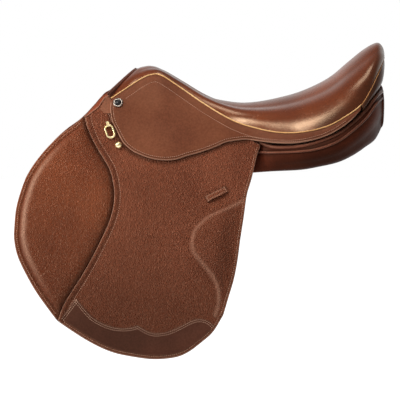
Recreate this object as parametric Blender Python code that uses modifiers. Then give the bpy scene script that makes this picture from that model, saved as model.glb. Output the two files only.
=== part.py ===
"""A close-contact jumping saddle. +X runs to the rear, -Y is the near (left) side and +Z is up.

The origin is on the mid-plane, at the height of the horse's back under the seat.
The leather of each side lies in layers on one flared side plane, whose own
directions are x (to the rear), down (along its slope) and out (away from the horse).
"""

import math

import bmesh
import bpy
from mathutils import Matrix, Vector

MM = 0.001
NEAR, OFF = -1, 1
SIDES = ((NEAR, "near"), (OFF, "off"))

# The side plane
SIDE_HALF = 0.096  # from the mid-plane to the side plane at the origin's height
SIDE_FLARE = math.radians(18)  # from upright
TABLE_HALF = 0.096  # the SIDE_HALF at which the widths in the tables below were measured
SIDE_SHIFT = SIDE_HALF - TABLE_HALF
LAYER_GAP = 0.0003  # between layers that lie on each other
SHELL_GAP = 0.0006  # between curved layers
PANEL_CLEARANCE = 0.0003  # between the panel and the point pocket

# Leathers and layers, from the horse outwards
POCKET_WALL = 0.0011
POINT_THICKNESS = 0.004
SWEAT_FLAP_THICKNESS = 0.003
WEB_THICKNESS = 0.002
STRAP_THICKNESS = 0.003
GUARD_WALL = 0.002
FLAP_THICKNESS = 0.0035
SKIRT_THICKNESS = 0.0035
PATCH_THICKNESS = 0.0012
KEEPER_THICKNESS = 0.0025

# The seat, from its surface inwards
COVER_THICKNESS = 0.0028
FOAM_THICKNESS = 0.009
WEBBING_THICKNESS = 0.002
HEAD_PLATE_THICKNESS = 0.0035
FRAME_THICKNESS = 0.008
FACING_THICKNESS = 0.0025
FACING_GAP = 0.0014
FACING_SWELL = 0.003
HEAD_REACH = 0.86  # how far the gullet plate comes round, as a share of the way to the welt
HEAD_STATIONS = (0.6, 2.8)
TREE_REACH = 0.80  # the foam's and the frame's
WEBBING_REACH = TREE_REACH / 2  # so that its columns lie on the foam's
WINDOW_FRONT = -0.100  # the opening in the tree under the rider
WINDOW_REAR = 0.165
WINDOW_SHARE = 0.34
WELT_RADIUS = 0.0017
CANTLE_WELT_RADIUS = 0.0014

# Fold lines, as distances down the side plane
FLAP_FOLD = -0.010
FOLD_GAP = 0.0008  # between a fixed piece and the piece that folds away from it
SKIRT_FOLD_FRONT = (-0.195, -0.101)
SKIRT_FOLD_REAR = (0.024, -0.054)

# Padded forms, their crowns and where they end along the side plane
PAD_EDGE = 0.0015
PAD_END_SHARE = 0.35  # how much of the crown is left at a pad's ends
PAD_FULL_WIDTH = 0.05  # narrower rows rise less
KNEE_PAD_CROWN = 0.0085
KNEE_PAD_HEAD = -0.082
KNEE_PAD_FOOT = 0.236
THIGH_BLOCK_CROWN = 0.0105
THIGH_BLOCK_HEAD = 0.061
THIGH_BLOCK_CLEARANCE = 0.012  # above the wear patch
THIGH_BLOCK_EDGE = 0.006  # from the flap's rear edge

# Girth straps
STRAP_WIDTH = 0.025
STRAP_SPACING = 0.036
FRONT_STRAP_X = -0.128
STRAP_PIVOT_DOWN = 0.002
STRAP_LENGTH = 0.238
STRAP_LAP = 0.012
GUARD_TOP = 0.030
GUARD_LENGTH = 0.055
GUARD_EDGE = 0.005
GUARD_CLEARANCE = 0.0008

# Keeper on the flap
KEEPER_LENGTH = 0.038
KEEPER_WIDTH = 0.0115
KEEPER_AT = (-0.0232, 0.0394)
KEEPER_TILT = math.radians(27)

# Stirrup bar
BAR_SETBACK = 0.002  # from the flap's upper front corner
BAR_LENGTH = 0.084
BAR_DOWN = -0.097
BAR_PLATE_HEIGHT = 0.012
BAR_PLATE_THICKNESS = 0.0025
BAR_SLOT = 0.0072
BAR_BLADE_HEIGHT = 0.008
BAR_BLADE_THICKNESS = 0.004
BAR_RISER_LENGTH = 0.012
CATCH_LENGTH = 0.018
CATCH_TIP = 0.003  # how far the catch's point passes its straight part

# Brass ring, its hanger and the stud
RING_LENGTH = 0.0245
RING_WIDTH = 0.0158
RING_WIRE = 0.0032
RING_CORNER = 0.0042
RING_AT = (-0.1953, -0.0647)
RING_TILT = math.radians(15)
HANGER_WIDTH = 0.0048
HANGER_WALL = 0.0014
HANGER_LENGTH = 0.009
STUD_AT = (-0.1813, -0.0423)
STUD_RADIUS = 0.006
NAIL_RADIUS = 0.008
NAIL_HEIGHT = 0.0042
NAIL_STATION = 0.55  # the seat station beside which the nail sits on the skirt band
NAIL_SHARE = 0.5  # of the way from the welt to the fold
NAIL_GAP = 0.0007

# Distances out from the side plane, each worked out from the layers under it
SWEAT_FLAP_OUT = LAYER_GAP
WEB_OUT = SWEAT_FLAP_OUT + SWEAT_FLAP_THICKNESS + LAYER_GAP
STRAP_OUT = WEB_OUT + WEB_THICKNESS + LAYER_GAP
GUARD_TOP_OUT = STRAP_OUT + STRAP_THICKNESS + LAYER_GAP + GUARD_WALL
FLAP_OUT = GUARD_TOP_OUT + LAYER_GAP
ON_FLAP = FLAP_OUT + FLAP_THICKNESS + LAYER_GAP
SKIRT_FACE = ON_FLAP + SKIRT_THICKNESS
POINT_OUT = -LAYER_GAP - POINT_THICKNESS
POCKET_OUT = POINT_OUT - LAYER_GAP - POCKET_WALL
PANEL_INSET = PANEL_CLEARANCE - POCKET_OUT  # room between the panel and the side plane for the tree's point

# Distances in from the seat's surface
FOAM_DEPTH = COVER_THICKNESS + SHELL_GAP
WEBBING_DEPTH = FOAM_DEPTH + FOAM_THICKNESS + SHELL_GAP
FRAME_DEPTH = WEBBING_DEPTH + max(WEBBING_THICKNESS, HEAD_PLATE_THICKNESS) + SHELL_GAP


def mm(points):
    """Points given in millimetres, in metres."""
    return [tuple(value * MM for value in point) for point in points]


# Outlines on the side plane, as (x, down) in millimetres
FLAP_FRONT = mm([(-238, -92), (-252, -78), (-273, -62), (-292, -44), (-308, -25), (-323, -3), (-334, 20),
                 (-345, 59), (-348, 92), (-348, 114), (-342, 141), (-328, 171), (-312, 199), (-293, 226),
                 (-277, 247)])
FLAP_FOOT = mm([(-277, 247), (-232, 277), (-191, 297), (-150, 306), (-120, 309), (-89, 306), (-69, 298),
                (-49, 283), (-29, 265), (-14, 240)])
FLAP_REAR = mm([(-13, 240), (-4, 209), (5, 178), (11, 146), (15, 115), (21, 76), (26, 40), (32, 19), (37, -1),
                (43, -27), (49, -43)])
FLAP_HEAD_TOP = mm([(49, -43), (28, -56), (-1, -66), (-60, -74), (-181, -74)])
FLAP_HEAD_NOSE = mm([(-190, -86), (-197, -106), (-203, -120), (-209, -124), (-223, -109), (-238, -92)])
PAD_SEAM = mm([(-236, -90), (-232, -71), (-220, -44), (-205, -19), (-194, 2), (-188, 33), (-189, 59),
               (-196, 86), (-208, 114), (-221, 141), (-237, 171), (-255, 200), (-269, 225), (-275, 245)])
THIGH_SEAM = mm([(-11, 59), (-26, 65), (-40, 73), (-53, 84), (-64, 98), (-68, 113), (-69, 123), (-66, 137),
                 (-59, 148), (-49, 161), (-38, 174), (-30, 188), (-26, 204), (-27, 221), (-32, 237)])
PATCH_TOP = [mm([(-271, 243), (-247, 210)]),
             mm([(-247, 210), (-242, 217), (-222, 240), (-202, 252), (-181, 258), (-161, 258), (-149, 254)]),
             mm([(-149, 254), (-134, 263), (-120, 267), (-100, 264), (-80, 255), (-60, 245), (-45, 244),
                 (-33, 249), (-26, 256)])]
PATCH_FOOT = mm([(-26, 256), (-32, 264), (-51, 281), (-71, 295), (-90, 303), (-120, 305), (-149, 303),
                 (-190, 293), (-230, 273), (-271, 246)])
SKIRT_EDGE = mm([(24, -52), (7, -50), (-8, -47), (-28, -38), (-50, -30), (-71, -24), (-89, -18), (-111, -17),
                 (-133, -21), (-156, -31), (-171, -43), (-177, -52), (-185, -68), (-192, -83), (-195, -100)])
SWEAT_FLAP = [mm([(-196, -78), (-232, -66), (-268, -38), (-300, 0), (-320, 50), (-325, 100), (-318, 150),
                  (-296, 196), (-262, 232), (-212, 262), (-150, 280), (-98, 277), (-62, 255), (-40, 215),
                  (-24, 160), (-14, 100), (-4, 40), (6, -10), (14, -56)]),
              mm([(14, -56), (-60, -76), (-196, -78)])]
WEB = mm([(-146, 12), (-146, -44), (-128, -70), (-86, -76), (-86, -114), (-42, -108), (-38, 12)])
POINT = mm([(-206, -44), (-204, -104), (-190, -122), (-172, -144), (-160, -154), (-150, -146), (-168, -120),
            (-176, -44)])
POCKET = mm([(-212, -34), (-212, -74), (-168, -74), (-170, -34)])

BAR_FRONT_X = FLAP_HEAD_TOP[-1][0] + BAR_SETBACK

# The seat's surface: stations from the pommel to the cantle, in millimetres. Each has a point (x, z) on the
# mid-plane, a point (x, y, z) on the welt and how far the middle dips.
SEAT = [
    ((-152, 165), (-194, 72, 120), 0), ((-149, 168), (-171, 66, 135), 0), ((-142, 170), (-151, 56, 148), 0),
    ((-130, 171), (-132, 50, 157), 0), ((-114, 166), (-113, 52, 157), 0), ((-81, 147), (-81, 59, 137), 1),
    ((-41, 124), (-41, 71, 110), 2), ((2, 115), (1, 84, 86), 3), ((35, 115), (33, 96, 75), 4),
    ((77, 123), (75, 115, 67), 5), ((119, 136), (115, 129, 68), 6), ((162, 157), (156, 133, 78), 6),
    ((195, 183), (189, 129, 96), 5), ((217, 199), (209, 121, 111), 3), ((233, 207), (224, 107, 133), 1),
    ((244, 209), (236, 86, 155), 0), ((251, 202), (246, 56, 174), 0), ((254, 192), (252, 14, 185), 0),
]
SEAT_CROWN = 2.2
NOSE_SWEEP = 1.6
LAST_WELT_STATION = 13  # the side welt ends here and the cantle's begins

# The skirt band's free lower edge behind the fold, in millimetres, at the seat's stations 8 to 13
BAND_EDGE = [(33, 98, 54), (75, 119, 50), (114, 133, 52), (156, 138, 64), (189, 134, 84), (210, 125, 105)]
FIRST_FREE_STATION = 8
BAND_BULGE = 0.005

# Panel sections, in millimetres: x, then (y, z) of the inner top, outer top, lower bead, outer bottom,
# middle bottom and inner bottom. A y of None lies against the side plane.
PANEL = [
    (-224, (54, 101), (None, 103), (None, 59), (None, 27), (74, 33), (50, 89)),
    (-194, (42, 114), (None, 117), (None, 33), (None, -16), (80, -8), (40, 98)),
    (-144, (36, 110), (None, 109), (None, 19), (None, -24), (76, 4), (36, 84)),
    (-85, (34, 92), (None, 89), (None, 12), (None, -18), (72, 14), (35, 64)),
    (-26, (34, 76), (None, 71), (None, 6), (None, -10), (68, 12), (36, 45)),
    (29, (34, 66), (76, 57), (82, 31), (80, -5), (62, 9), (37, 35)),
    (67, (34, 63), (104, 43), (109, 34), (100, 0), (70, 9), (38, 33)),
    (112, (34, 64), (125, 45), (130, 37), (115, 4), (78, 9), (38, 35)),
    (142, (34, 74), (130, 53), (135, 42), (119, 9), (80, 15), (38, 41)),
    (173, (34, 92), (130, 66), (135, 54), (117, 16), (78, 22), (36, 51)),
    (198, (34, 114), (123, 84), (130, 72), (109, 27), (72, 33), (34, 64)),
    (219, (32, 132), (112, 104), (119, 91), (97, 40), (64, 47), (30, 82)),
    (235, (31, 142), (94, 123), (101, 111), (80, 55), (55, 61), (29, 96)),
    (246, (36, 130), (68, 120), (73, 110), (61, 76), (50, 81), (34, 102)),
]
PANEL_ROUND = 0.36
PANEL_END_SHARE = 0.72  # the panel's rounded ends, as a share of its end sections
PANEL_END_LENGTH = 0.004

# The cantle facing's lower edge, in millimetres, at the seat's stations 13 to 17
FACING_FOOT = [(213, 120, 103), (225, 107, 118), (236, 92, 131), (245, 66, 142), (248, 16, 147)]
POMMEL_FACING_HEIGHT = 0.012
POMMEL_FACING_PROUD = 0.002

COLLECTION = bpy.data.collections.new("saddle")
CUTTERS = bpy.data.collections.new("cutters")
COLOURS = {
    "smooth_leather": ((0.205, 0.065, 0.032), 0.38, 0.0),
    "grained_leather": ((0.170, 0.055, 0.028), 0.50, 0.0),
    "dark_leather": ((0.065, 0.020, 0.012), 0.42, 0.0),
    "lining_leather": ((0.090, 0.028, 0.014), 0.55, 0.0),
    "tan_welt": ((0.620, 0.330, 0.140), 0.45, 0.0),
    "brass": ((0.800, 0.600, 0.280), 0.22, 1.0),
    "steel": ((0.560, 0.560, 0.580), 0.30, 1.0),
    "wood": ((0.480, 0.320, 0.180), 0.60, 0.0),
    "foam": ((0.700, 0.640, 0.480), 0.90, 0.0),
    "webbing": ((0.620, 0.580, 0.480), 0.85, 0.0),
}


def clear_scene():
    for obj in list(bpy.data.objects):
        bpy.data.objects.remove(obj)
    bpy.context.scene.collection.children.link(COLLECTION)
    bpy.context.scene.collection.children.link(CUTTERS)


def material(name, finish):
    colour, roughness, metallic = COLOURS[finish]
    made = bpy.data.materials.new(name)
    made.use_nodes = True
    shader = made.node_tree.nodes["Principled BSDF"]
    shader.inputs["Base Color"].default_value = (*colour, 1)
    shader.inputs["Roughness"].default_value = roughness
    shader.inputs["Metallic"].default_value = metallic
    made.diffuse_color = (*colour, 1)
    return made


def finish_object(obj, finish, smooth=False):
    """Gives a new object its own material and puts it in the saddle's collection."""
    obj.data.materials.append(material(obj.name, finish))
    COLLECTION.objects.link(obj)
    if smooth:
        obj.data.shade_smooth()
        obj.data.set_sharp_from_angle(angle=math.radians(35))
    return obj


def smooth_run(points, steps):
    """A smooth curve through all the points, with this many pieces between each pair."""
    ends = [points[0]] + list(points) + [points[-1]]
    made = []
    for before, start, end, after in zip(ends, ends[1:], ends[2:], ends[3:]):
        for step in range(steps):
            t = step / steps
            made.append(tuple(
                0.5 * (2 * b + (c - a) * t + (2 * a - 5 * b + 4 * c - d) * t**2 + (3 * b - a - 3 * c + d) * t**3)
                for a, b, c, d in zip(before, start, end, after)
            ))
    return made + [tuple(points[-1])]


def across_at(curve, down):
    """The x at which a curve on the side plane, whose down only grows, reaches this distance down."""
    for (x0, d0), (x1, d1) in zip(curve, curve[1:]):
        if d0 <= down <= d1:
            return x0 + (x1 - x0) * (down - d0) / (d1 - d0)
    return curve[0][0] if down < curve[0][1] else curve[-1][0]


def side_axes(side):
    """The side plane's local axes as columns: along x, up its slope and out, right-handed on both sides."""
    along = Vector((-side, 0, 0))
    up = Vector((0, -side * math.sin(SIDE_FLARE), math.cos(SIDE_FLARE)))
    out = Vector((0, side * math.cos(SIDE_FLARE), math.sin(SIDE_FLARE)))
    return along, up, out


def side_point(side, x, down, out):
    _, up_axis, out_axis = side_axes(side)
    return Vector((x, side * SIDE_HALF, 0)) - up_axis * down + out_axis * out


def side_matrix(side, x, down, out, turn=0.0):
    """A frame on the side plane. A positive turn tips its foot towards the rear."""
    along, up, out_axis = side_axes(side)
    rotation = Matrix((along, up, out_axis)).transposed()
    spin = Matrix.Rotation(-side * turn, 3, "Z")
    return Matrix.Translation(side_point(side, x, down, out)) @ (rotation @ spin).to_4x4()


def plate(name, side, outline, out, thickness, finish, pivot=(0, 0, 0)):
    """A flat piece on the side plane: a closed outline of (x, down), from out outwards by its thickness."""
    pivot_x, pivot_down, pivot_out = pivot
    curve = bpy.data.curves.new(name, "CURVE")
    curve.dimensions = "2D"
    curve.fill_mode = "BOTH"
    curve.extrude = thickness / 2
    spline = curve.splines.new("POLY")
    spline.points.add(len(outline) - 1)
    for point, (x, down) in zip(spline.points, outline):
        point.co = (-side * (x - pivot_x), -(down - pivot_down), 0, 1)
    spline.use_cyclic_u = True
    flat = bpy.data.objects.new(name + "_outline", curve)
    bpy.context.scene.collection.objects.link(flat)
    bpy.context.view_layer.update()
    mesh = bpy.data.meshes.new_from_object(flat.evaluated_get(bpy.context.evaluated_depsgraph_get()))
    bpy.data.objects.remove(flat)
    work = bmesh.new()
    work.from_mesh(mesh)
    bmesh.ops.remove_doubles(work, verts=work.verts, dist=1e-6)
    bmesh.ops.translate(work, verts=work.verts, vec=(0, 0, out + thickness / 2 - pivot_out))
    bmesh.ops.recalc_face_normals(work, faces=work.faces)
    work.to_mesh(mesh)
    work.free()
    mesh.name = name
    obj = bpy.data.objects.new(name, mesh)
    obj.matrix_world = side_matrix(side, pivot_x, pivot_down, pivot_out)
    return finish_object(obj, finish)


def from_bmesh(name, work, finish, origin=Vector((0, 0, 0)), smooth=True):
    """An object from a bmesh in world positions, with its origin where it is wanted."""
    bmesh.ops.recalc_face_normals(work, faces=work.faces)
    bmesh.ops.translate(work, verts=work.verts, vec=-origin)
    mesh = bpy.data.meshes.new(name)
    work.to_mesh(mesh)
    work.free()
    obj = bpy.data.objects.new(name, mesh)
    obj.location = origin
    return finish_object(obj, finish, smooth)


def grid_faces(work, rows, closed=False):
    """Quads between rows of points. Closed rows join their last point to their first."""
    made = [[work.verts.new(point) for point in row] for row in rows]
    for row, following in zip(made, made[1:]):
        count = len(row)
        for i in range(count if closed else count - 1):
            j = (i + 1) % count
            work.faces.new((row[i], row[j], following[j], following[i]))
    return made


def loft(name, rings, finish, origin=Vector((0, 0, 0)), smooth=True):
    """A closed solid through rings of equally many points, with flat ends."""
    work = bmesh.new()
    made = grid_faces(work, rings, closed=True)
    work.faces.new(made[0])
    work.faces.new(made[-1])
    return from_bmesh(name, work, finish, origin, smooth)


def shell(name, rows, thickness, finish, inward_at, keep=None):
    """An open surface given its wall by Solidify, growing towards the point inward_at."""
    work = bmesh.new()
    grid_faces(work, rows)
    if keep:
        spare = [face for face in work.faces if not keep(face.calc_center_median())]
        bmesh.ops.delete(work, geom=spare, context="FACES")
    bmesh.ops.recalc_face_normals(work, faces=work.faces)
    face = max(work.faces, key=lambda f: f.calc_area())
    if face.normal.dot(face.calc_center_median() - inward_at) < 0:
        bmesh.ops.reverse_faces(work, faces=work.faces)
    mesh = bpy.data.meshes.new(name)
    work.to_mesh(mesh)
    work.free()
    obj = finish_object(bpy.data.objects.new(name, mesh), finish, smooth=True)
    wall = obj.modifiers.new("wall", "SOLIDIFY")
    wall.thickness = thickness
    wall.offset = -1
    return obj


def tube(name, points, radius, finish, cyclic=False, matrix=None, resolution=2):
    curve = bpy.data.curves.new(name, "CURVE")
    curve.dimensions = "3D"
    curve.bevel_depth = radius
    curve.bevel_resolution = resolution
    curve.use_fill_caps = not cyclic
    spline = curve.splines.new("POLY")
    spline.points.add(len(points) - 1)
    for point, place in zip(spline.points, points):
        point.co = (*place, 1)
    spline.use_cyclic_u = cyclic
    obj = bpy.data.objects.new(name, curve)
    if matrix:
        obj.matrix_world = matrix
    curve.materials.append(material(name, finish))
    COLLECTION.objects.link(obj)
    return obj


def box_mesh(name, size, centre):
    work = bmesh.new()
    bmesh.ops.create_cube(work, size=1)
    bmesh.ops.scale(work, verts=work.verts, vec=size)
    bmesh.ops.translate(work, verts=work.verts, vec=centre)
    mesh = bpy.data.meshes.new(name)
    work.to_mesh(mesh)
    work.free()
    return mesh


def cut(obj, name, mesh, matrix, operation="DIFFERENCE"):
    """A Boolean on obj with a helper that isn't built."""
    cutter = bpy.data.objects.new(name, mesh)
    cutter.matrix_world = matrix
    cutter.hide_render = True
    cutter.display_type = "WIRE"
    CUTTERS.objects.link(cutter)
    boolean = obj.modifiers.new(name, "BOOLEAN")
    boolean.operation = operation
    boolean.object = cutter
    boolean.solver = "EXACT"


def turned(name, profile, finish, matrix, segments=20):
    """A solid turned about local Z from a profile of (radius, height), top to bottom, closed on the axis."""
    mesh = bpy.data.meshes.new(name)
    points = [(radius, 0, height) for radius, height in profile]
    mesh.from_pydata(points, [(i, i + 1) for i in range(len(points) - 1)], [])
    obj = bpy.data.objects.new(name, mesh)
    obj.matrix_world = matrix
    finish_object(obj, finish)
    lathe = obj.modifiers.new("turn", "SCREW")
    lathe.steps = segments
    lathe.render_steps = segments
    lathe.use_merge_vertices = True
    lathe.merge_threshold = 1e-5
    return obj


def seat_station(u):
    """The middle point, the welt point and the dip at u, counted in stations."""
    low = min(int(u), len(SEAT) - 2)
    t = u - low
    rows = [SEAT[min(max(low + k, 0), len(SEAT) - 1)] for k in (-1, 0, 1, 2)]
    flat = [(*middle, *welt, dip) for middle, welt, dip in rows]
    a, b, c, d = flat
    values = [
        0.5 * (2 * q + (r - p) * t + (2 * p - 5 * q + 4 * r - s) * t**2 + (3 * q - p - 3 * r + s) * t**3) * MM
        for p, q, r, s in zip(a, b, c, d)
    ]
    middle, (x, y, z), dip = values[:2], values[2:5], values[5]
    return middle, (x, y + SIDE_SHIFT, z), dip


def seat_surface(u, t):
    """A point of the seat's surface: t is 0 on the mid-plane, 1 at the off welt and -1 at the near welt."""
    (middle_x, middle_z), (welt_x, welt_y, welt_z), dip = seat_station(u)
    share = abs(t)
    x = middle_x + (welt_x - middle_x) * share**NOSE_SWEEP
    z = middle_z - (middle_z - welt_z) * share**SEAT_CROWN - dip * (1 - share**2) ** 2
    return Vector((x, welt_y * t, z))


def seat_normal(u, t):
    step = 0.01
    along = seat_surface(min(u + step, len(SEAT) - 1), t) - seat_surface(max(u - step, 0), t)
    across = seat_surface(u, t + step) - seat_surface(u, t - step)
    return along.cross(across).normalized()


def seat_layer(u_values, t_reach, depth, columns):
    """Rows of points at a depth under the seat's surface. t_reach is a share of the way to the welt."""
    rows = []
    for u in u_values:
        reach = t_reach(u)
        row = []
        for i in range(columns + 1):
            t = reach * (2 * i / columns - 1)
            row.append(seat_surface(u, t) - seat_normal(u, t) * depth)
        rows.append(row)
    return rows


def spread(start, end, count):
    return [start + (end - start) * i / count for i in range(count + 1)]


def half_stations(start, end):
    """Every half station from start to end. All the seat's layers share them, so they stay parallel."""
    return spread(start, end, round((end - start) * 2))


def welt_line(side, u):
    _, (x, y, z), _ = seat_station(u)
    return Vector((x, side * y, z))


def make_seat():
    last = len(SEAT) - 1

    def cover_reach(u):
        """The share of the way to the welt's line at which the cover stops beside the welt."""
        outward = (seat_surface(u, 1) - seat_surface(u, 0.98)) / 0.02
        along = (seat_surface(min(u + 0.1, last), 1) - seat_surface(max(u - 0.1, 0), 1)).normalized()
        return 1 - (WELT_RADIUS + SHELL_GAP) / outward.cross(along).length

    inside = Vector((0, 0, -0.5))
    shell("seat_cover", seat_layer(half_stations(0, last - 0.5) + [last - 0.2], cover_reach, 0, 16),
          COVER_THICKNESS, "smooth_leather", inside)
    shell("seat_foam", seat_layer(half_stations(3.5, 13.5), lambda u: TREE_REACH, FOAM_DEPTH, 8),
          FOAM_THICKNESS, "foam", inside)
    shell("seat_webbing", seat_layer(half_stations(3, 13), lambda u: WEBBING_REACH, WEBBING_DEPTH, 4),
          WEBBING_THICKNESS, "webbing", inside)

    def outside_window(centre):
        nearest = min(spread(0, last, 68), key=lambda u: abs(seat_station(u)[0][0] - centre.x))
        half = seat_station(nearest)[1][1] * WINDOW_SHARE
        return not (WINDOW_FRONT < centre.x < WINDOW_REAR and abs(centre.y) < half)

    shell("tree_frame", seat_layer(half_stations(2.5, 14), lambda u: TREE_REACH, FRAME_DEPTH, 8),
          FRAME_THICKNESS, "wood", inside, keep=outside_window)
    head = shell("tree_head", seat_layer(spread(*HEAD_STATIONS, 4), lambda u: HEAD_REACH, WEBBING_DEPTH, 10),
                 HEAD_PLATE_THICKNESS, "steel", inside)
    for side, word in SIDES:
        point = plate("point_" + word, side, POINT, POINT_OUT, POINT_THICKNESS, "steel")
        COLLECTION.objects.unlink(point)
        cut(head, "point_join_" + word, point.data, point.matrix_world, "UNION")
        bpy.data.objects.remove(point)
    welt_points = half_stations(0, LAST_WELT_STATION)
    for side, word in SIDES:
        tube("welt_" + word, [welt_line(side, u) for u in welt_points], WELT_RADIUS, "tan_welt")
    cantle = [LAST_WELT_STATION + 0.15] + half_stations(LAST_WELT_STATION + 0.5, last)
    around = [welt_line(NEAR, u) for u in cantle] + [welt_line(OFF, u) for u in reversed(cantle)]
    tube("cantle_welt", around, CANTLE_WELT_RADIUS, "dark_leather")


def make_facings():
    # The cantle's back: a band from under the cantle welt to the panels
    last = len(SEAT) - 1
    foot = smooth_run(mm(FACING_FOOT), 3)
    tops = spread(LAST_WELT_STATION + 0.15, last, len(foot) - 1)
    rows = []
    for side in (NEAR, OFF):
        half = []
        for u, (x, y, z) in zip(tops, foot):
            top = welt_line(side, u)
            low = Vector((x, side * (y + SIDE_SHIFT), z))
            step = (low - top).normalized()
            start = top + step * (CANTLE_WELT_RADIUS + FACING_GAP)
            swell = Vector((0.5, side * 0.8, 0)).normalized() * FACING_SWELL
            half.append([start.lerp(low, t) + swell * math.sin(math.pi * t) for t in (0, 0.33, 0.67, 1)])
        rows += half if side == NEAR else half[::-1]
    shell("cantle_facing", rows, FACING_THICKNESS, "smooth_leather", Vector((0, 0, 0.12)))
    # The pommel's front: a strip that stands a little proud of the seat's front edge
    rings = []
    for t in spread(-0.97, 0.97, 20):
        edge = seat_surface(0, t)
        up = seat_normal(0, t)
        up = Vector((0, up.y, up.z)).normalized()
        top = edge + up * POMMEL_FACING_PROUD
        low = edge - up * (POMMEL_FACING_HEIGHT - POMMEL_FACING_PROUD)
        back = Vector((-SHELL_GAP, 0, 0))
        front = Vector((-SHELL_GAP - FACING_THICKNESS, 0, 0))
        rings.append([top + back, top + front, low + front, low + back])
    loft("pommel_facing", rings, "dark_leather", smooth=False)


def fold_point(side, x):
    """The skirt's fold line at x, on the skirt's outer face."""
    (x0, d0), (x1, d1) = SKIRT_FOLD_FRONT, SKIRT_FOLD_REAR
    return side_point(side, x, d0 + (d1 - d0) * (x - x0) / (x1 - x0), SKIRT_FACE)


def band_row(side, u, steps):
    """A row of the skirt band, from under the welt at u to the fold, or to the free edge behind it."""
    top = welt_line(side, u)
    free = smooth_run(mm(BAND_EDGE), 8)
    if u <= FIRST_FREE_STATION:
        reach = min(max(top.x, SKIRT_FOLD_FRONT[0]), SKIRT_FOLD_REAR[0])
        x = reach + (SKIRT_FOLD_REAR[0] - reach) * max(0, u - FIRST_FREE_STATION + 1)
        foot = fold_point(side, min(x, SKIRT_FOLD_REAR[0]))
        if u == FIRST_FREE_STATION:
            foot = Vector((free[0][0], side * (free[0][1] + SIDE_SHIFT), free[0][2]))
    else:
        place = (u - FIRST_FREE_STATION) * 8
        x, y, z = free[min(round(place), len(free) - 1)]
        foot = Vector((x, side * (y + SIDE_SHIFT), z))
    down = (foot - top).normalized()
    start = top + down * (WELT_RADIUS + SHELL_GAP)
    out = Vector((0, side * math.cos(SIDE_FLARE), math.sin(SIDE_FLARE)))
    return [start.lerp(foot, t) + out * BAND_BULGE * math.sin(math.pi * t) for t in spread(0, 1, steps)]


def band_place(side, u, share):
    """A point on the skirt band at a share of the way down, with its directions out and up."""
    steps = 20
    index = round(share * steps)
    row = band_row(side, u, steps)
    along = band_row(side, u + 0.25, steps)[index] - band_row(side, u - 0.25, steps)[index]
    upward = (row[index - 1] - row[index + 1]).normalized()
    out = along.cross(upward).normalized() * -side
    return row[index], out, upward


def make_skirts():
    for side, word in SIDES:
        stations = spread(0, 8, 16) + spread(8.25, LAST_WELT_STATION, 19)
        rows = [band_row(side, u, 5) for u in stations]
        shell("skirt_band_" + word, rows, SKIRT_THICKNESS, "smooth_leather", Vector((-0.06, 0, 0)))
        outline = [(SKIRT_FOLD_FRONT[0], SKIRT_FOLD_FRONT[1] + FOLD_GAP),
                   (SKIRT_FOLD_REAR[0], SKIRT_FOLD_REAR[1] + FOLD_GAP)]
        outline += smooth_run(SKIRT_EDGE, 2)
        plate("skirt_" + word, side, outline, ON_FLAP, SKIRT_THICKNESS, "smooth_leather",
              pivot=(*SKIRT_FOLD_FRONT, SKIRT_FACE))


def pad(name, side, left, right, downs, crown, finish, pivot=(0, 0, 0)):
    """A crowned pad on the flap between two seams, flat underneath."""
    columns = 6
    rings = []
    total = len(downs) - 1
    for row, down in enumerate(downs):
        x0, x1 = across_at(left, down), across_at(right, down)
        end = min(1, 3 * min(row, total - row) / total) if total else 1
        height = crown * math.sqrt(min(1, (x1 - x0) / PAD_FULL_WIDTH))
        height *= PAD_END_SHARE + (1 - PAD_END_SHARE) * end
        top = []
        low = []
        for t in spread(0, 1, columns):
            x = x0 + (x1 - x0) * t
            rise = PAD_EDGE + height * (1 - (2 * t - 1) ** 2) ** 0.6
            top.append(side_point(side, x, down, ON_FLAP + rise))
            low.append(side_point(side, x, down, ON_FLAP))
        rings.append(top + low[::-1])
    return loft(name, rings, finish, side_point(side, *pivot) if any(pivot) else Vector((0, 0, 0)))


def fold_pivot():
    return (0, FLAP_FOLD, ON_FLAP + PAD_EDGE + KNEE_PAD_CROWN + LAYER_GAP)


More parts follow.
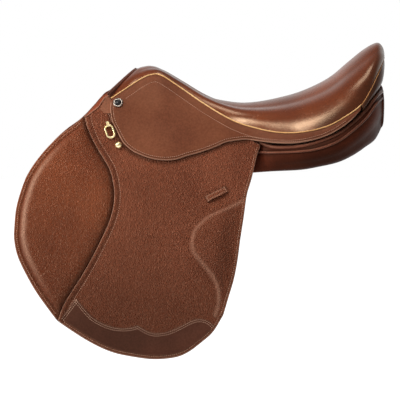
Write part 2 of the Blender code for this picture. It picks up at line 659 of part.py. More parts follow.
def make_flaps():
    front = smooth_run(FLAP_FRONT, 2)
    rear = smooth_run(FLAP_REAR, 2)
    seam = smooth_run(PAD_SEAM, 2)
    above = FLAP_FOLD - FOLD_GAP / 2
    below = FLAP_FOLD + FOLD_GAP / 2
    rear_up = rear[::-1]
    pivot = fold_pivot()
    for side, word in SIDES:
        head = smooth_run(FLAP_HEAD_NOSE, 2)
        head += [point for point in front[1:] if point[1] < above] + [(across_at(front, above), above)]
        head += [(across_at(rear_up, above), above)]
        head += [point for point in rear if point[1] < above] + FLAP_HEAD_TOP[1:]
        plate("flap_head_" + word, side, head, FLAP_OUT, FLAP_THICKNESS, "grained_leather")
        outline = [(across_at(front, below), below)] + [point for point in front if point[1] > below]
        outline += smooth_run(FLAP_FOOT, 2)[1:]
        outline += [point for point in rear[1:] if point[1] > below] + [(across_at(rear_up, below), below)]
        plate("flap_" + word, side, outline, FLAP_OUT, FLAP_THICKNESS, "grained_leather", pivot)
        pad("knee_pad_top_" + word, side, front, seam, spread(KNEE_PAD_HEAD, above, 4), KNEE_PAD_CROWN,
            "grained_leather")
        pad("knee_pad_" + word, side, front, seam, spread(below, KNEE_PAD_FOOT, 14), KNEE_PAD_CROWN,
            "grained_leather", pivot)
        block_rear = [(x - THIGH_BLOCK_EDGE, down) for x, down in rear_up]
        block_foot = min(down for _, down in PATCH_TOP[-1][-4:]) - THIGH_BLOCK_CLEARANCE
        block_rows = spread(THIGH_BLOCK_HEAD, block_foot, 12)
        pad("thigh_block_" + word, side, smooth_run(THIGH_SEAM, 2), block_rear, block_rows, THIGH_BLOCK_CROWN,
            "grained_leather", pivot)
        patch = []
        for run in PATCH_TOP + [PATCH_FOOT]:
            patch += smooth_run(run, 2)[:-1]
        plate("wear_patch_" + word, side, patch, ON_FLAP, PATCH_THICKNESS, "dark_leather", pivot)
        half_length, half_width = KEEPER_LENGTH / 2, KEEPER_WIDTH / 2
        keeper = []
        for along, across in ((-1, -1), (1, -1), (1, 1), (-1, 1)):
            x, y = along * half_length, across * half_width
            keeper.append((KEEPER_AT[0] + x * math.cos(KEEPER_TILT) + y * math.sin(KEEPER_TILT),
                           KEEPER_AT[1] - x * math.sin(KEEPER_TILT) + y * math.cos(KEEPER_TILT)))
        plate("keeper_" + word, side, keeper, ON_FLAP, KEEPER_THICKNESS, "smooth_leather", pivot)


def make_under_flaps():
    for side, word in SIDES:
        outline = smooth_run(SWEAT_FLAP[0], 2)[:-1] + SWEAT_FLAP[1][:-1]
        plate("sweat_flap_" + word, side, outline, SWEAT_FLAP_OUT, SWEAT_FLAP_THICKNESS, "lining_leather")
        plate("girth_web_" + word, side, WEB, WEB_OUT, WEB_THICKNESS, "webbing")
        plate("point_pocket_" + word, side, POCKET, POCKET_OUT, POCKET_WALL, "lining_leather")
        for number, place in enumerate(("front", "middle", "rear")):
            x = FRONT_STRAP_X + STRAP_SPACING * number
            make_girth_strap(f"girth_strap_{place}_{word}", side, x)
        make_buckle_guard("buckle_guard_" + word, side)


def make_girth_strap(name, side, x):
    """A strap with a rounded head, sewn on the web at its pivot, and a tapered foot."""
    half = STRAP_WIDTH / 2
    top = STRAP_PIVOT_DOWN - STRAP_LAP
    foot = STRAP_PIVOT_DOWN + STRAP_LENGTH
    outline = [(x - half * math.cos(math.radians(a)), top + half * (1 - math.sin(math.radians(a))))
               for a in range(0, 181, 30)]
    outline += [(x + half, foot - half * 1.4), (x + half * 0.7, foot - half * 0.5), (x + half * 0.25, foot),
                (x - half * 0.25, foot), (x - half * 0.7, foot - half * 0.5), (x - half, foot - half * 1.4)]
    pivot = (x, STRAP_PIVOT_DOWN, STRAP_OUT)
    plate(name, side, outline, STRAP_OUT, STRAP_THICKNESS, "lining_leather", pivot)


def make_buckle_guard(name, side):
    """A flat sleeve with a slot for each strap."""
    span = 2 * STRAP_SPACING + STRAP_WIDTH + 2 * (GUARD_CLEARANCE + GUARD_EDGE)
    height = GUARD_TOP_OUT - WEB_OUT
    centre_x = FRONT_STRAP_X + STRAP_SPACING
    matrix = side_matrix(side, centre_x, GUARD_TOP + GUARD_LENGTH / 2, (GUARD_TOP_OUT + WEB_OUT) / 2)
    mesh = box_mesh(name, (span, GUARD_LENGTH, height), (0, 0, 0))
    obj = bpy.data.objects.new(name, mesh)
    obj.matrix_world = matrix
    finish_object(obj, "lining_leather")
    slot = (STRAP_WIDTH + 2 * GUARD_CLEARANCE, GUARD_LENGTH * 1.2, STRAP_THICKNESS + 2 * LAYER_GAP)
    lift = STRAP_OUT - LAYER_GAP + slot[2] / 2 - (GUARD_TOP_OUT + WEB_OUT) / 2
    for number in (-1, 0, 1):
        hole = box_mesh(f"{name}_slot_{number}", slot, (number * STRAP_SPACING, 0, lift))
        cut(obj, f"{name}_slot_{number}", hole, matrix)


def panel_section(side, station):
    """The points round a panel at one station: three at each of its rounded corners."""
    x, corners = station
    points = []
    for i, corner in enumerate(corners):
        before, after = corners[i - 1], corners[(i + 1) % len(corners)]
        for share_before, share_after in ((PANEL_ROUND, 0), (PANEL_ROUND / 4, PANEL_ROUND / 4), (0, PANEL_ROUND)):
            kept = 1 - share_before - share_after
            y, z = (before[k] * share_before + corner[k] * kept + after[k] * share_after for k in (0, 1))
            points.append(Vector((x, side * y, z)))
    return points


def panel_face(z):
    """The y of the panel's outer face at a height, against the room for the tree's point."""
    return SIDE_HALF - z * math.tan(SIDE_FLARE) - PANEL_INSET / math.cos(SIDE_FLARE)


def make_panels():
    flat = []
    for x, *corners in PANEL:
        row = [x * MM]
        for y, z in corners:
            z *= MM
            row += [panel_face(z) if y is None else y * MM + SIDE_SHIFT, z]
        flat.append(tuple(row))
    dense = smooth_run(flat, 2)
    for side, word in SIDES:
        rings = []
        for row in dense:
            corners = [tuple(row[i:i + 2]) for i in range(1, len(row), 2)]
            rings.append(panel_section(side, (row[0], corners)))
        for end, step in ((0, -1), (-1, 1)):
            ring = rings[end]
            centre = sum(ring, Vector()) / len(ring)
            shift = Vector((step * PANEL_END_LENGTH, 0, 0))
            cap = [centre.lerp(point, PANEL_END_SHARE) + shift for point in ring]
            rings = [cap] + rings if end == 0 else rings + [cap]
        loft("panel_" + word, rings, "lining_leather")


def make_stirrup_bars():
    for side, word in SIDES:
        plate_out = LAYER_GAP
        slot_out = plate_out + BAR_PLATE_THICKNESS
        blade_out = slot_out + BAR_SLOT
        top_out = blade_out + BAR_BLADE_THICKNESS
        matrix = side_matrix(side, BAR_FRONT_X, BAR_DOWN, 0)
        turn = -side
        base = box_mesh("base", (BAR_LENGTH, BAR_PLATE_HEIGHT, BAR_PLATE_THICKNESS),
                        (turn * BAR_LENGTH / 2, 0, plate_out + BAR_PLATE_THICKNESS / 2))
        obj = bpy.data.objects.new("stirrup_bar_" + word, base)
        obj.matrix_world = matrix
        finish_object(obj, "steel")
        riser = box_mesh("riser", (BAR_RISER_LENGTH, BAR_BLADE_HEIGHT, top_out - plate_out),
                         (turn * BAR_RISER_LENGTH / 2, 0, (top_out + plate_out) / 2))
        cut(obj, "bar_riser_" + word, riser, matrix, "UNION")
        blade_length = BAR_LENGTH - 2 * SHELL_GAP
        blade_height = BAR_BLADE_HEIGHT - 2 * LAYER_GAP
        blade_thickness = BAR_BLADE_THICKNESS - LAYER_GAP
        blade = box_mesh("blade", (blade_length, blade_height, blade_thickness),
                         (turn * (blade_length / 2 + SHELL_GAP), 0, blade_out + blade_thickness / 2))
        cut(obj, "bar_blade_" + word, blade, matrix, "UNION")
        make_catch("bar_catch_" + word, side, plate_out)


def make_catch(name, side, plate_out):
    """The thumb catch: it carries on from the base plate's rear end and tips up about a pin through its front."""
    pin_x = BAR_FRONT_X + BAR_LENGTH + BAR_PLATE_HEIGHT / 2
    half = BAR_PLATE_HEIGHT / 2 - SHELL_GAP
    outline = [(pin_x - half * math.sin(math.radians(a)), BAR_DOWN - half * math.cos(math.radians(a)))
               for a in range(0, 181, 30)]
    end_x = pin_x + CATCH_LENGTH
    outline += [(end_x, BAR_DOWN + half), (end_x + CATCH_TIP, BAR_DOWN),
                (end_x + CATCH_TIP / 3, BAR_DOWN - half * 1.2), (end_x - CATCH_TIP, BAR_DOWN - half)]
    plate(name, side, outline, plate_out, BAR_PLATE_THICKNESS, "steel", (pin_x, BAR_DOWN, plate_out))


def make_hardware():
    for side, word in SIDES:
        make_ring(side, word)
        stud = side_matrix(side, *STUD_AT, ON_FLAP)
        r = STUD_RADIUS
        ball = [(0, r * 1.1), (r * 0.5, r), (r * 0.86, r * 0.6), (r, 0.0015), (r * 0.9, 0), (0, 0)]
        turned("point_stud_" + word, ball, "brass", stud)
        place, out, upward = band_place(side, NAIL_STATION, NAIL_SHARE)
        frame = Matrix((upward.cross(out), upward, out)).transposed().to_4x4()
        matrix = Matrix.Translation(place + out * NAIL_GAP) @ frame
        r, h = NAIL_RADIUS, NAIL_HEIGHT
        nail = [(0, h), (r * 0.35, h * 0.93), (r * 0.6, h * 0.62), (r * 0.66, h * 0.42), (r * 0.8, h * 0.5),
                (r * 0.95, h * 0.3), (r, 0.0004), (r * 0.94, 0), (0, 0)]
        turned("head_nail_" + word, nail, "steel", matrix)


def ring_frame(side):
    """A frame at the middle of the ring's top run, on its wire's centre line."""
    reach = RING_LENGTH / 2 - RING_WIRE / 2
    x = RING_AT[0] - math.sin(RING_TILT) * reach
    down = RING_AT[1] - math.cos(RING_TILT) * reach
    out = ON_FLAP + HANGER_WALL + RING_WIRE / 2 + LAYER_GAP
    return side_matrix(side, x, down, out, RING_TILT)


def make_ring(side, word):
    half_width = RING_WIDTH / 2 - RING_WIRE / 2
    length = RING_LENGTH - RING_WIRE
    corners = [(-half_width, 0), (half_width, 0), (half_width, -length), (-half_width, -length)]
    points = []
    for i, corner in enumerate(corners):
        before, after = Vector(corners[i - 1]), Vector(corners[(i + 1) % 4])
        corner = Vector(corner)
        start = corner + (before - corner).normalized() * RING_CORNER * 0.72
        end = corner + (after - corner).normalized() * RING_CORNER * 0.72
        for t in (0, 0.33, 0.67, 1):
            points.append((*start.lerp(corner, t).lerp(corner.lerp(end, t), t), 0))
    tube("ring_" + word, points, RING_WIRE / 2, "brass", cyclic=True, matrix=ring_frame(side))
    # The hanger: a block on the flap with a bore for the ring's top run
    matrix = ring_frame(side)
    wall = HANGER_WALL + RING_WIRE / 2 + LAYER_GAP
    mesh = box_mesh("hanger_" + word, (HANGER_WIDTH, HANGER_LENGTH, wall * 2),
                    (0, HANGER_LENGTH / 2 - wall, LAYER_GAP))
    obj = bpy.data.objects.new("ring_hanger_" + word, mesh)
    obj.matrix_world = matrix
    finish_object(obj, "brass")
    work = bmesh.new()
    bmesh.ops.create_cone(work, cap_ends=True, segments=12, radius1=RING_WIRE / 2 + SHELL_GAP,
                          radius2=RING_WIRE / 2 + SHELL_GAP, depth=HANGER_WIDTH * 1.5)
    bore = bpy.data.meshes.new("bore")
    work.to_mesh(bore)
    work.free()
    cut(obj, "hanger_bore_" + word, bore, matrix @ Matrix.Rotation(math.pi / 2, 4, "Y"))


clear_scene()
make_seat()
make_facings()
make_skirts()
make_flaps()
make_under_flaps()
make_panels()
make_stirrup_bars()
make_hardware()
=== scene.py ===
import math

import bmesh
import bpy
from mathutils import Matrix, Vector
from mathutils.geometry import delaunay_2d_cdt
from mathutils.kdtree import KDTree


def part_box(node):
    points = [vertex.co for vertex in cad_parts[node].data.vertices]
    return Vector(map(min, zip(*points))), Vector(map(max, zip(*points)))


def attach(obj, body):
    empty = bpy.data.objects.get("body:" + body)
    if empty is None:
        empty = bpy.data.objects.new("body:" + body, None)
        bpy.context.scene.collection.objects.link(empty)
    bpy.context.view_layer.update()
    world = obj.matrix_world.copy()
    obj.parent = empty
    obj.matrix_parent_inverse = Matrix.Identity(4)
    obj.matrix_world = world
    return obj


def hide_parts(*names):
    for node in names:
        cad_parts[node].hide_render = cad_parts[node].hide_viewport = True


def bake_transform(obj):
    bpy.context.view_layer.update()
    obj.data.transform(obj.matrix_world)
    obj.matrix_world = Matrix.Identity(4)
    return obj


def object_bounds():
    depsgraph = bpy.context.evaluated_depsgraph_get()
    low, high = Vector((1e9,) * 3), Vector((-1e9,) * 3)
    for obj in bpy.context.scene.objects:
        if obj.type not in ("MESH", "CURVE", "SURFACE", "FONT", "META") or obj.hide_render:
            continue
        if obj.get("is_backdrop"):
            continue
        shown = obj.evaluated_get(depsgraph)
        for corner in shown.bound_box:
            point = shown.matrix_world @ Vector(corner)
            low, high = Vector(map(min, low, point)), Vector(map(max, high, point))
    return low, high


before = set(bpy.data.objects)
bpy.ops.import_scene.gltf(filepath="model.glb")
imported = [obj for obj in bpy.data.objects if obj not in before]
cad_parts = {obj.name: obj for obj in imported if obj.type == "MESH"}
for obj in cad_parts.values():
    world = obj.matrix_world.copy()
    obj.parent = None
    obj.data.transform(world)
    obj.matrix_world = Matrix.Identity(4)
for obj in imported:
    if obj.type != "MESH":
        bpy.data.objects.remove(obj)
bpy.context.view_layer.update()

# The tree: two rails of laminated beech that join at the cantle, and a lacquered steel arch riveted to their
# heads. It is inside the seat and seen only from below.


def dyed(red, green, blue):
    """A colour as the eye reads it, 0 to 255, for a shader."""
    return tuple(((v / 255 + 0.055) / 1.055) ** 2.4 if v > 10 else v / 3294 for v in (red, green, blue)) + (1,)


def finish(name, **values):
    """A new material whose shader has these plain values."""
    made = bpy.data.materials.new(name)
    made.use_nodes = True
    put_values(made.node_tree.nodes["Principled BSDF"], made, values)
    return made


def put_values(node, made, values):
    """Sets a node's sockets. A socket of another node is linked, and the rest are plain values."""
    for key, value in values.items():
        socket = node.inputs[int(key) if str(key).isdigit() else key.replace("_", " ")]
        if isinstance(value, bpy.types.NodeSocket):
            made.node_tree.links.new(value, socket)
        else:
            socket.default_value = value


def coat(made, kind, output, settings=None, **values):
    """Adds one node to a material and returns the socket that it gives."""
    node = made.node_tree.nodes.new("ShaderNode" + kind)
    for key, value in (settings or {}).items():
        setattr(node, key, value)
    put_values(node, made, values)
    return node.outputs[output]


def speckle(made, place, scale, detail=3.0):
    """Noise from 0 to 1, with this many specks to the metre."""
    return coat(made, "TexNoise", "Fac", Vector=place, Scale=scale, Detail=detail)


MOST_NOISE = (0.3, 0.7)


def graded(made, value, low, high, start=0.0, end=1.0):
    """A value that runs from start to end while another runs from low to high."""
    return coat(made, "MapRange", "Result", Value=value, From_Min=low, From_Max=high, To_Min=start, To_Max=end)


def place_on(made):
    """The place on the piece that is being coloured."""
    return coat(made, "TexCoord", "Object")


def bands(made, place, way, scale, **values):
    """Wavy bands that follow each other in one direction."""
    return coat(made, "TexWave", "Fac", {"bands_direction": way}, Vector=place, Scale=scale, **values)


def bumped(made, height, strength, distance=0.0002, **values):
    """A surface whose slope follows this height."""
    return coat(made, "Bump", "Normal", Height=height, Strength=strength, Distance=distance, **values)


def product(made, first, second):
    return coat(made, "Math", 0, {"operation": "MULTIPLY"}, **{"0": first, "1": second})


def mixed(made, share, first, second, how="MIX"):
    """Two colours mixed by a share, which is a number or a socket."""
    node = made.node_tree.nodes.new("ShaderNodeMix")
    node.data_type = "RGBA"
    node.blend_type = how
    put_values(node, made, {0: share, 6: first, 7: second})
    return node.outputs[2]


def on_shader(made, **values):
    """Sets or links sockets of a material's shader."""
    put_values(made.node_tree.nodes["Principled BSDF"], made, values)


def surface(made, share, light, deep, height, strength, distance=0.0002, **values):
    """Two colours mixed by a share, over a height that is felt as a bump."""
    on_shader(made, Base_Color=mixed(made, share, light, deep), Normal=bumped(made, height, strength, distance),
              **values)


def dress(obj, *materials):
    """Gives a piece these materials in place of its own."""
    obj.data.materials.clear()
    for made in materials:
        obj.data.materials.append(made)


beech = finish("laminated_beech", Roughness=0.55)
place = place_on(beech)
grain = bands(beech, place, "Z", 90.0, Distortion=3.0, Detail=2.0)
fibre = speckle(beech, coat(beech, "Mapping", 0, Vector=place, Scale=(40, 300, 300)), 1.0)
layers = mixed(beech, grain, dyed(196, 150, 104), dyed(168, 120, 78))
surface(beech, graded(beech, fibre, *MOST_NOISE, 0.0, 0.35), layers, dyed(120, 80, 50), fibre, 0.25, 0.0004)
dress(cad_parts["tree_frame"], beech)

arch_steel = finish("lacquered_steel", Metallic=0.9, Roughness=0.4)
place = place_on(arch_steel)
smear = speckle(arch_steel, place, 60.0)
surface(arch_steel, smear, dyed(92, 94, 98), dyed(58, 60, 64), speckle(arch_steel, place, 900.0), 0.12,
        Roughness=graded(arch_steel, smear, *MOST_NOISE, 0.3, 0.55))
dress(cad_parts["tree_head"], arch_steel)

# The seat's webbing: plain-woven linen tape, strained over the tree's rails and tacked to them. It carries the
# foam and gives a little under the rider.

linen = finish("linen_webbing", Roughness=0.9)
place = place_on(linen)
weave = product(linen, *[bands(linen, place, way, 260.0, Distortion=1.2) for way in "XY"])
surface(linen, weave, dyed(140, 128, 104), dyed(206, 196, 170), weave, 0.6, 0.0005)
dress(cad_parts["seat_webbing"], linen)

# The panels: two long cushions of dark calf, stuffed with flock, that lie on the horse's back with a channel
# between them. A gusset joins their top to their side at the rear, with a bead sewn in along each of its edges.

SIDES = ((-1, "near"), (1, "off"))
SIDE_HALF = 0.096
SIDE_FLARE = math.radians(18)
PANEL_INSET = 0.006
# Each row is a section: its x, then (y, z) of its corners in millimetres, from the channel's top outwards to the
# two beads, round the foot and back. Where y is None the corner lies on the flared side.
PANEL = [
    (-224, (54, 101), (None, 103), (None, 59), (None, 27), (74, 33), (50, 89)),
    (-194, (42, 114), (None, 117), (None, 33), (None, -16), (80, -8), (40, 98)),
    (-144, (36, 110), (None, 109), (None, 19), (None, -24), (76, 4), (36, 84)),
    (-85, (34, 92), (None, 89), (None, 12), (None, -18), (72, 14), (35, 64)),
    (-26, (34, 76), (None, 71), (None, 6), (None, -10), (68, 12), (36, 45)),
    (29, (34, 66), (76, 57), (82, 31), (80, -5), (62, 9), (37, 35)),
    (67, (34, 63), (104, 43), (109, 34), (100, 0), (70, 9), (38, 33)),
    (112, (34, 64), (125, 45), (130, 37), (115, 4), (78, 9), (38, 35)),
    (142, (34, 74), (130, 53), (135, 42), (119, 9), (80, 15), (38, 41)),
    (173, (34, 92), (130, 66), (135, 54), (117, 16), (78, 22), (36, 51)),
    (198, (34, 114), (123, 84), (130, 72), (109, 27), (72, 33), (34, 64)),
    (219, (32, 132), (112, 104), (119, 91), (97, 40), (64, 47), (30, 82)),
    (235, (31, 142), (94, 124), (101, 112), (80, 51), (55, 58), (29, 96)),
    (246, (35, 144), (63, 131), (70, 120), (62, 70), (50, 76), (34, 102)),
]
CORNER_ROUND = (0.30, 0.06, 0.06, 0.36, 0.36, 0.36)
PANEL_BULGE = 0.13
PANEL_BULGE_FROM = 0.02
PANEL_BULGE_FULL = 0.08
CORNER_STEPS = 6
WALL_STEPS = 7
SECTION_STEPS = 6
END_CAPS = ((0.97, 0.0012), (0.88, 0.0027), (0.72, 0.0038), (0.4, 0.0046))
ROPE_SIDES = 12
UPPER_BEAD = 0.0032
LOWER_BEAD = 0.0019
BEAD_TURN = (0.93, 0.8, 0.6)
BEAD_SHADE = (0.0075, 0.9)
REAR_SHADE = (0.04, 0.65)
REAR_SHADE_FROM = 0.19
PANEL_FOOT_SHADE = (0.045, 0.75)
PANEL_FOOT_SHADE_FROM = 0.09
BEHIND_FLAP = (-0.06, 0.016)


def twice_curve(corners, t):
    """Twice the place on a smooth curve, a share t of the way between the middle two of four corners."""
    return [2 * b + (c - a) * t + (2 * a - 5 * b + 4 * c - d) * t**2 + (3 * b - a - 3 * c + d) * t**3
            for a, b, c, d in zip(*corners)]


def smooth_run(points, steps):
    """A smooth curve through all the points, with this many pieces between each pair."""
    ends = [points[0]] + list(points) + [points[-1]]
    made = [tuple(0.5 * v for v in twice_curve(corners, step / steps))
            for corners in zip(ends, ends[1:], ends[2:], ends[3:]) for step in range(steps)]
    return made + [tuple(points[-1])]


def soft_step(value, low, high):
    """0 below low, 1 above high and an easy rise between them."""
    share = min(1.0, max(0.0, (value - low) / (high - low)))
    return share * share * (3 - 2 * share)


def fade(value, low, high):
    """1 below low, 0 above high and an easy fall between them."""
    return 1 - soft_step(value, low, high)


def side_point(side, x, down, out):
    """A point by its place on the flared side plane: x, down its slope and out from it."""
    sine, cosine = math.sin(SIDE_FLARE), math.cos(SIDE_FLARE)
    return Vector((x, side * (SIDE_HALF + down * sine + out * cosine), -down * cosine + out * sine))


def set_out(name, data, *materials):
    """A smooth-shaded piece with this mesh, in these materials."""
    data.shade_smooth()
    piece = bpy.data.objects.new(name, data)
    bpy.context.scene.collection.objects.link(piece)
    dress(piece, *materials)
    return piece


def turn_outwards(data, merge=False):
    """Turns a closed mesh's faces outwards, and first merges the points that coincide if asked."""
    made = bmesh.new()
    made.from_mesh(data)
    if merge:
        bmesh.ops.remove_doubles(made, verts=made.verts, dist=1e-6)
    bmesh.ops.recalc_face_normals(made, faces=made.faces)
    made.to_mesh(data)
    made.free()


def new_piece(name, points, faces, material):
    """A closed piece from points and faces."""
    data = bpy.data.meshes.new(name)
    data.from_pydata(points, [], faces)
    turn_outwards(data, merge=True)
    return set_out(name, data, material)


def loft(name, rings, material):
    """Closed rings of points joined one to the next, with their ends filled."""
    count = len(rings[0])
    points = [point for ring in rings for point in ring]
    faces = []
    for row in range(len(rings) - 1):
        for i in range(count):
            j = (i + 1) % count
            faces.append((row * count + i, row * count + j, (row + 1) * count + j, (row + 1) * count + i))
    for start in (0, (len(rings) - 1) * count):
        centre = sum((points[start + i] for i in range(count)), Vector()) / count
        points.append(centre)
        for i in range(count):
            faces.append((start + i, start + (i + 1) % count, len(points) - 1))
    return new_piece(name, points, faces, material)


def rope(name, line, radius, material, closed=False):
    """A round piping along a line of points."""
    line = [Vector(point) for point in line]
    rings = []
    across = None
    turns = [2 * math.pi * k / ROPE_SIDES for k in range(ROPE_SIDES)]
    for i, point in enumerate(line):
        before = line[i - 1] if i or closed else line[0]
        after = line[(i + 1) % len(line)] if i + 1 < len(line) or closed else line[-1]
        along = (after - before).normalized()
        if across is None:
            across = along.orthogonal().normalized()
        across = (across - along * across.dot(along)).normalized()
        up = along.cross(across)
        rings.append([point + across * radius * math.cos(a) + up * radius * math.sin(a) for a in turns])
    if not closed:
        return loft(name, rings, material)
    points = [point for ring in rings for point in ring]
    shift = min(range(ROPE_SIDES), key=lambda k: (rings[-1][0] - rings[0][k]).length)
    faces = []
    for row in range(len(rings)):
        last = row == len(rings) - 1
        for i in range(ROPE_SIDES):
            j = (i + 1) % ROPE_SIDES
            after = [(row + 1) * ROPE_SIDES + i, (row + 1) * ROPE_SIDES + j]
            if last:
                after = [(i + shift) % ROPE_SIDES, (j + shift) % ROPE_SIDES]
            faces.append((row * ROPE_SIDES + i, row * ROPE_SIDES + j, after[1], after[0]))
    return new_piece(name, points, faces, material)


def panel_ring(side, row):
    """One section of a panel: rounded corners, and a side that swells between its lower bead and its foot."""
    corners = [Vector((row[0], side * row[i], row[i + 1])) for i in range(1, len(row), 2)]
    middle = sum(corners, Vector()) / len(corners)
    ring = []
    for i, corner in enumerate(corners):
        before, after = corners[i - 1], corners[(i + 1) % len(corners)]
        share = CORNER_ROUND[i]
        start, end = corner.lerp(before, share), corner.lerp(after, share)
        for step in range(CORNER_STEPS):
            t = step / (CORNER_STEPS - 1)
            ring.append(start.lerp(corner, t).lerp(corner.lerp(end, t), t))
        next_share = CORNER_ROUND[(i + 1) % len(corners)]
        far = after.lerp(corner, next_share)
        swell = PANEL_BULGE * (far - end).length * soft_step(row[0], PANEL_BULGE_FROM, PANEL_BULGE_FULL)
        outwards = (far - end).cross(Vector((1, 0, 0))).normalized()
        if outwards.dot(end - middle) < 0:
            outwards = -outwards
        for step in range(1, WALL_STEPS):
            t = step / WALL_STEPS
            lift = swell * math.sin(math.pi * t) if i == 2 else 0.0
            ring.append(end.lerp(far, t) + outwards * lift)
    return ring


MID_NOISE = (0.35, 0.65)
WEAR_AND_HIGHLIGHT_TONE = dyed(196, 148, 122)
FOOT_SHADE = (-0.27, 0.02)
BURNISH_AND_SHADE_SHARE = 0.4
SHADE_SHARE = 0.32
WAX_TINT = dyed(255, 216, 176)
WAX_GLOSS = 0.26
GLOSS_BELOW = 0.03
GLOSS_ABOVE = 0.05
DRIFT_GRAIN = 9.0
FLECK_GRAIN = 330.0
FLECK_RANGE = (0.86, 1.12)
PORE_GRAIN = 1400.0
POLISH_GRAIN = 70.0
PEBBLE_BEND = 0.0022
PEBBLE_BEND_GRAIN = 220.0
PEBBLE_EDGE = 0.42
PEBBLE_DEPTH = 0.0020
PEBBLE_DARK = 0.55


def hide(name, colour, deep, gloss, cell=0.0, pebble=0.0, pores=0.15, polish=0.0, foot=0.0, shine=0.22):
    """Dyed cowhide. Its colour drifts, its edges show their pale core where they wear, and the same pale tone
    paints highlights. Painted shade darkens creases and the places where shade falls, its grain is pressed
    pebbles, and it darkens towards the foot, partly burnished dye and partly painted shade."""
    made = finish(name, Coat_Weight=polish, Coat_Roughness=WAX_GLOSS, Specular_IOR_Level=shine,
                  Specular_Tint=WAX_TINT)
    place = place_on(made)
    drift = speckle(made, place, DRIFT_GRAIN, 4.0)
    shade = mixed(made, graded(made, drift, *MID_NOISE), colour, deep)
    # Darker towards the foot: partly dye burnished there and partly painted shade for light that falls off
    # downwards.
    if foot:
        height = coat(made, "SeparateXYZ", "Z", Vector=place)
        burnish_and_shade = tuple(v * BURNISH_AND_SHADE_SHARE for v in deep[:3]) + (1,)
        shade = mixed(made, graded(made, height, *FOOT_SHADE, foot, 0), shade, burnish_and_shade)
    fleck = graded(made, speckle(made, place, FLECK_GRAIN, 2.0), *MID_NOISE, *FLECK_RANGE)
    shade = mixed(made, 1.0, shade, fleck, "MULTIPLY")
    dark = tuple(v * SHADE_SHARE for v in deep[:3]) + (1,)
    # The pale tone is real wear on edges and also painted highlight; the dark tone is painted shade.
    for mark, most, tone in (("wear_and_highlight", 0.8, WEAR_AND_HIGHLIGHT_TONE), ("crease_and_shade", 0.85, dark)):
        marked = coat(made, "Attribute", "Fac", {"attribute_name": mark})
        shade = mixed(made, graded(made, marked, 0, 1, 0, most), shade, tone)
    normal = bumped(made, speckle(made, place, PORE_GRAIN, 2.0), pores)
    if cell:
        bend = coat(made, "TexNoise", "Color", Vector=place, Scale=PEBBLE_BEND_GRAIN, Detail=1.0)
        bent = mixed(made, PEBBLE_BEND, place, bend, "ADD")
        edge = coat(made, "TexVoronoi", "Distance", {"feature": "DISTANCE_TO_EDGE"}, Vector=bent,
                    Scale=1 / cell)
        height = coat(made, "MapRange", "Result", {"interpolation_type": "SMOOTHSTEP"}, Value=edge,
                      From_Min=0.0, From_Max=PEBBLE_EDGE)
        shade = mixed(made, graded(made, height, 0, 1, PEBBLE_DARK * pebble, 0), shade, dark)
        normal = bumped(made, height, pebble, PEBBLE_DEPTH, Normal=normal)
    polish_marks = speckle(made, place, POLISH_GRAIN)
    on_shader(made, Base_Color=shade, Normal=normal,
              Roughness=graded(made, polish_marks, *MOST_NOISE, gloss - GLOSS_BELOW, gloss + GLOSS_ABOVE))
    return made


def darken(piece, lines, width, depth):
    """Paints shade on a piece along these lines, over what is marked already."""
    spots = [Vector(point) for line in lines for point in line]
    tree = KDTree(len(spots))
    for i, point in enumerate(spots):
        tree.insert(point, i)
    tree.balance()
    mark = piece.data.attributes.get("crease_and_shade") or piece.data.attributes.new("crease_and_shade", "FLOAT", "POINT")
    for vertex, spot in zip(piece.data.vertices, mark.data):
        spot.value = max(spot.value, depth * fade(tree.find(vertex.co)[2], width * 0.4, width))


panel_calf = hide("panel_calf", dyed(100, 46, 28), dyed(68, 29, 18), 0.42, foot=0.6, shine=0.07)
# The beads' calf is paler and pinker than the panel's: a painted highlight, which painted shade takes off again
# towards the rear.
highlit_bead_calf = hide("highlit_bead_calf", dyed(140, 84, 66), dyed(104, 58, 43), 0.34, shine=0.25)
panel_rows = []
for x, *corners in PANEL:
    row = [x * 0.001]
    for y, z in corners:
        z *= 0.001
        wall = SIDE_HALF - z * math.tan(SIDE_FLARE) - PANEL_INSET / math.cos(SIDE_FLARE)
        row += [wall if y is None else y * 0.001, z]
    panel_rows.append(tuple(row))
panel_rows = smooth_run(panel_rows, SECTION_STEPS)
for side, word in SIDES:
    rings = [panel_ring(side, row) for row in panel_rows]
    for end, step in ((0, -1), (-1, 1)):
        ring = rings[end]
        centre = sum(ring, Vector()) / len(ring)
        caps = [[centre.lerp(point, share) + Vector((step * shift, 0, 0)) for point in ring]
                for share, shift in END_CAPS]
        rings = caps[::-1] + rings if end == 0 else rings + caps
    panel = loft("panel_cushion_" + word, rings, panel_calf)
    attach(panel, "saddle")
    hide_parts("panel_" + word)
    bead_lines = []
    for part, corner, radius, sink in (("upper_bead_", 3, UPPER_BEAD, 0.1), ("lower_bead_", 5, LOWER_BEAD, 0.0)):
        line = []
        for row in panel_rows:
            at = Vector((row[0], side * row[corner], row[corner + 1]))
            line.append(at + Vector((0, -side * radius * sink, 0)))
        line += [Vector((at.x, at.y * share, at.z)) for share in BEAD_TURN]
        bead = rope(part + word, line, radius, highlit_bead_calf)
        bead_lines.append(line)
        # Painted shade on the beads towards the rear.
        darken(bead, [[point for point in line if point.x > REAR_SHADE_FROM]], *REAR_SHADE)
        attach(bead, "saddle")
    # Painted shade in the grooves beside the beads, and on the panel in the gap behind the flap's rear edge.
    behind_flap = [point for ring in rings for point in ring if BEHIND_FLAP[0] < point.x < BEHIND_FLAP[1]]
    darken(panel, bead_lines + [behind_flap], *BEAD_SHADE)
    # Painted shade along the panel's foot towards the rear.
    foot = [Vector((row[0], side * row[7], row[8])) for row in panel_rows if row[0] > PANEL_FOOT_SHADE_FROM]
    darken(panel, [foot], *PANEL_FOOT_SHADE)

# Under the flaps: the sweat flaps of thick saddle leather, the girth webs and straps of bridle leather, the
# buckle guards, the pockets that hold the tree's points, and the stirrup bars of forged steel with their catches.

